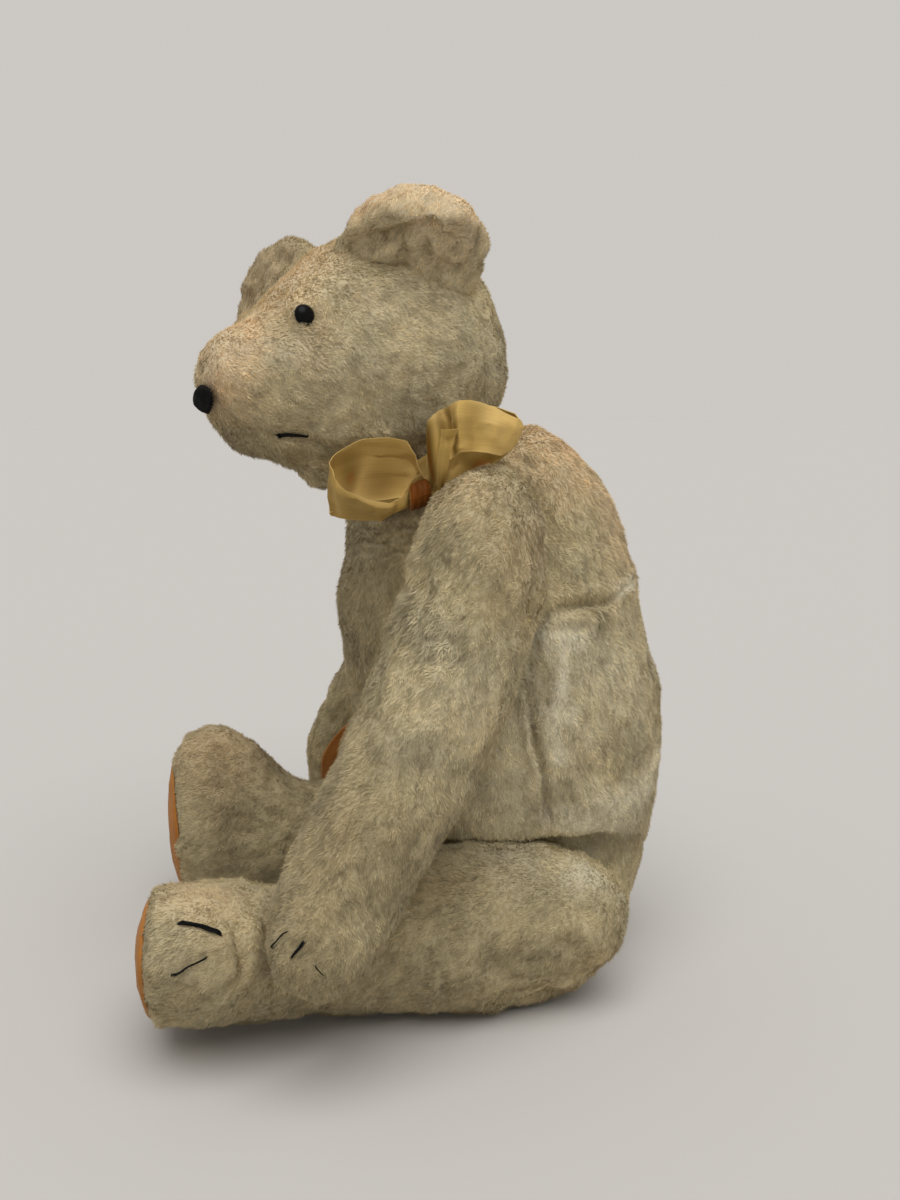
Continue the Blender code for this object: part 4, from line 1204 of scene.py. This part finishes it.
BOW_BACK = [
    ((47, -52, 210.5), (47, -52, 209), (47, -52, 206.5), (47, -52, 205)),
    ((44, -49, 219.5), (43, -47.5, 216), (44, -46, 211.5), (46, -45.5, 208)),
    ((44, -45.5, 231), (42, -42.5, 224.5), (42, -41.5, 217), (46, -40.5, 210.5)),
    ((46, -39, 238.5), (43, -36.5, 231), (43, -35, 222.5), (47, -34.5, 213.5)),
    ((49, -30, 237.5), (46, -28.5, 231.5), (46, -27.5, 224), (49, -28, 218)),
    ((53, -23, 235), (51, -22, 231), (51, -23, 226.5), (53, -24.5, 222)),
    ((59, -21, 233), (59, -19.5, 230.5), (59, -21.5, 226.5), (59, -24, 223)),
    ((64, -23, 234), (66, -24, 230.5), (67, -26.5, 226), (65, -29, 220.5)),
    ((66, -30, 237), (70, -31, 232.5), (71, -33, 227.5), (69, -34.5, 222)),
    ((65, -37, 239.5), (70, -39, 234.5), (71, -40.5, 228.5), (70, -40, 222.5)),
    ((62, -44, 240), (66, -45, 234.5), (67, -45.5, 228), (67, -44.5, 222)),
    ((58, -47.5, 238.5), (58, -46, 232), (60, -46.5, 225.5), (63, -47.5, 218.5)),
    ((57, -51, 236.5), (59, -50, 230), (61, -49.5, 222.5), (60, -49, 213.5)),
    ((56, -54, 233.5), (58, -53, 226), (58, -52.5, 218), (55, -51.5, 209.5)),
    ((54, -55.5, 228), (54, -55, 221.5), (54, -54, 213.5), (52, -53, 206.5)),
    ((50, -54.5, 217.5), (50, -53.5, 214), (49, -53, 209), (48, -52.5, 205)),
]
STRAY_FOLD = [
    ((62.8, -52.5, 207.9), (63.8, -51.5, 208.4), (62.8, -50.5, 209.4)),
    ((67.8, -53, 216.9), (69.3, -51.5, 216.4), (67.8, -49.5, 216.9)),
    ((70.8, -53, 224.4), (72.8, -51, 223.9), (70.8, -48, 224.4)),
    ((71.8, -52.2, 230.6), (73.8, -49.2, 230.6), (70.8, -45.2, 230.6)),
]
RIBBON_WIDTH = 38
RIBBON_THICK = 0.3 * MM
EDGE_WORN = 0.22  # how far its edges have paled
BAND_RADIUS = 37.7
# The band's section, folded in three: (out from its middle, up the neck) in millimetres.
BAND_FOLDS = [(1.0, -5), (1.3, 0), (1.0, 6), (0.5, 9.3), (0.1, 8), (0.2, 2), (0.0, -4.5),
              (-0.5, -5.5), (-0.6, 0), (-0.7, 5), (-0.8, 9)]

ribbon_gold, tree, shader = shader_of("ribbon", (0.48, 0.31, 0.09), 0.62, Specular_IOR_Level=0.12,
                                      Sheen_Weight=0.03, Sheen_Tint=(1.0, 0.85, 0.55, 1))
place, unfaded = object_place(tree), stored(tree, "deep")
drawn = joined(tree, "ShaderNodeMapping", stored(tree, "ribbon_place", "Vector"))
drawn.inputs["Scale"].default_value = (0.05, 1.1, 1.0)
drawn = drawn.outputs["Vector"]
colour = layered(
    tree, (0.72, 0.49, 0.175),
    (grains(tree, place, 55, 3.0, 0.35, 0.65), (0.61, 0.40, 0.115)),
    (grains(tree, drawn, 1.0, 4.0, 0.30, 0.70, 0.32), (0.36, 0.225, 0.055)),
    (grains(tree, place, 30, 2.0, 0.55, 0.68, 0.5), (0.33, 0.20, 0.045)),
    # Painted shade: darker as the shade mark grows, then a deep orange, then near black round the
    # knot.
    (unfaded, (0.12, 0.062, 0.005)),
    (maths(tree, "MULTIPLY_ADD", unfaded, 5.0, -4.2), (0.22, 0.062, 0.004)),
    (maths(tree, "MULTIPLY_ADD", unfaded, 4.0, -4.4), (0.03, 0.008, 0.001)),
    (stored(tree, "edge"), (0.62, 0.455, 0.19)),
)
tree.links.new(colour, shader.inputs["Base Color"])
raised(tree, shader, grains(tree, drawn, 1.0, 4.0, 0.30, 0.70), 0.15 * MM, 0.5)


def ribbon_part(net, rows, columns, deep, seed, closed=False):
    """Cloth over a net of places, with pleats and small dents: its points, faces and marks.

    deep is where shade is painted into its colour, as (share along, share across, both reaches,
    strength).
    """
    net = np.array([*net, net[0]] if closed else net, float)
    straight = 0.0 if closed else 0.7
    places = curved(net, rows, straight)
    places = curved(places.transpose(1, 0, 2), columns, straight).transpose(1, 0, 2)
    over = np.cross(np.gradient(places, axis=0), np.gradient(places, axis=1))
    over = unit(over.reshape(-1, 3)).reshape(places.shape)
    flat = places.reshape(-1, 3) * MM
    creased = 1 - 2 * np.abs(lumps(flat, 14, seed)) ** 0.8
    sharp = 1 - 2 * np.abs(lumps(flat, 8, seed + 2)) ** 0.7
    dents = 1.1 * creased + 0.6 * sharp + 0.2 * np.abs(lumps(flat, 4, seed + 1))
    places = places + over * dents.reshape(rows, columns, 1) * (0.45 if closed else 1.0)
    lengths = np.linalg.norm(np.diff(places, axis=0), axis=2).mean(1)
    coordinates = np.zeros((rows, columns, 3))
    coordinates[..., 0] = np.r_[0, np.cumsum(lengths)][:, None]
    coordinates[..., 1] = np.linspace(0, RIBBON_WIDTH, columns)
    edge = np.minimum(np.arange(columns), np.arange(columns)[::-1])
    along, across = np.linspace(0, 1, rows)[:, None], np.linspace(0, 1, columns)
    shade = np.zeros((rows, columns))
    for spot, beside, reach, over_reach, value in deep:
        spread = bell(along - spot, reach) * bell(across - beside, over_reach)
        shade = np.maximum(shade, value * spread)
    return (places.reshape(-1, 3) * MM, net_faces(rows, columns, False),
            coordinates.reshape(-1, 3), np.ravel(shade),
            np.tile(EDGE_WORN * bell(edge, 0.8), rows))


def knot_net():
    """The knot: one short turn of ribbon, wrapped snugly round where the loops meet."""
    pleats = ((-4.6, 0.68), (-3.4, 0.88), (-2.2, 0.84), (-1.0, 0.97), (0.2, 0.90), (1.2, 0.94),
              (2.2, 0.80), (3.0, 0.62))
    return [[(52.5 + 6.2 * swell * math.cos(turn) - 0.1 * along, -57.3 + along,
              205.5 + 5.6 * swell * math.sin(turn) + 0.35 * along) for along, swell in pleats]
            for turn in np.linspace(0, 2 * math.pi, 14, endpoint=False)]


def band_net():
    """The band round the neck, in the neck's leaning frame."""
    lean = np.array(Matrix.Rotation(math.radians(HEAD_LEAN), 3, "X"))
    rng = np.random.default_rng(31)
    rows = []
    for turn in np.linspace(0, 2 * math.pi, 40, endpoint=False):
        wander = 0.35 * math.sin(3 * turn + 1) + 0.25 * rng.normal()
        swell = 1 + 0.05 * math.sin(5 * turn)
        row = [((BAND_RADIUS + out) * math.cos(turn), (BAND_RADIUS + out) * math.sin(turn),
                up * swell + wander) for out, up in BAND_FOLDS]
        rows.append(np.array(row) @ lean.T + NECK)
    return rows


# Where shade is painted into the ribbon: all over the front loop, which the head shades, and
# deeper inside it; inside the back loop and beside its pleat.
DEEP_FRONT = [(0.5, 0.5, 2, 2, 0.18), (0.30, 0.62, 0.06, 0.45, 0.93),
              (0.21, 0.75, 0.10, 0.5, 0.86), (0.47, 0.6, 0.06, 0.9, 0.55),
              (0.62, 0.6, 0.14, 0.9, 0.60), (0.95, 0.7, 0.1, 0.8, 0.95)]
DEEP_BACK = [(0.2, 1.0, 0.12, 0.5, 1.0), (0.03, 0.5, 0.06, 0.7, 0.9), (0.91, 0.5, 0.06, 1.2, 0.97),
             (0.75, 0.15, 0.035, 0.35, 0.85), (0.61, 0.25, 0.05, 0.45, 0.6),
             (0.80, 0.6, 0.03, 0.8, 0.9), (0.695, 0.8, 0.02, 0.6, 0.9)]
# The stray fold is shaded where it leaves the knot, the knot is painted near black as in deep
# shadow, and the band is shaded under the head.
parts = [
    ribbon_part(BOW_FRONT, 120, 22, DEEP_FRONT, 41),
    ribbon_part(BOW_BACK, 130, 22, DEEP_BACK, 43),
    ribbon_part(STRAY_FOLD, 26, 12, [(0.5, 0.5, 2, 2, 0.32), (0.0, 0.5, 0.35, 2, 0.8)], 45),
    ribbon_part(knot_net(), 44, 22, [(0.5, 0.5, 2, 2, 1.29)], 47, closed=True),
    ribbon_part(band_net(), 160, 30, [(0.5, 0.5, 2, 2, 0.4)], 49, closed=True),
]
ribbon = sewn("ribbon", *merged(part[:2] for part in parts))
coordinates, deep, edge = (np.concatenate([part[n] for part in parts]) for n in (2, 3, 4))
layer = ribbon.data.attributes.new("ribbon_place", "FLOAT_VECTOR", "POINT")
layer.data.foreach_set("vector", coordinates.astype(np.float32).ravel())
give(ribbon, "deep", deep)
give(ribbon, "edge", edge)
applied(ribbon, "SOLIDIFY", thickness=RIBBON_THICK, offset=0)
bpy.ops.object.shade_smooth_by_angle(angle=math.radians(28))
settled(ribbon, ribbon_gold, "neck_ribbon", "bow")

# ---------------------------------------------------------------- joints
# Inside each joint are two pressed board discs, two steel washers and a split steel pin that
# holds them together. They keep the CAD's own shapes, in board and in dull, slightly rusted steel.
board, tree, shader = shader_of("pressed_board", (0.34, 0.22, 0.12), 0.85)
flecks = mixed(tree, grains(tree, object_place(tree), 700, 4.0, 0.3, 0.7),
               (0.40, 0.27, 0.155), (0.27, 0.17, 0.09))
tree.links.new(flecks, shader.inputs["Base Color"])
steel, tree, shader = shader_of("joint_steel", (0.42, 0.41, 0.39), 0.42, Metallic=1.0)
rust = mixed(tree, grains(tree, object_place(tree), 400, 4.0, 0.45, 0.7),
             (0.44, 0.43, 0.41), (0.20, 0.13, 0.085))
tree.links.new(rust, shader.inputs["Base Color"])
for node, piece in frame["nodes"].items():
    if "_disc_" in node or "_washer_" in node or "_pin" in node:
        for slot in piece.material_slots:
            slot.material = board if "_disc_" in node else steel
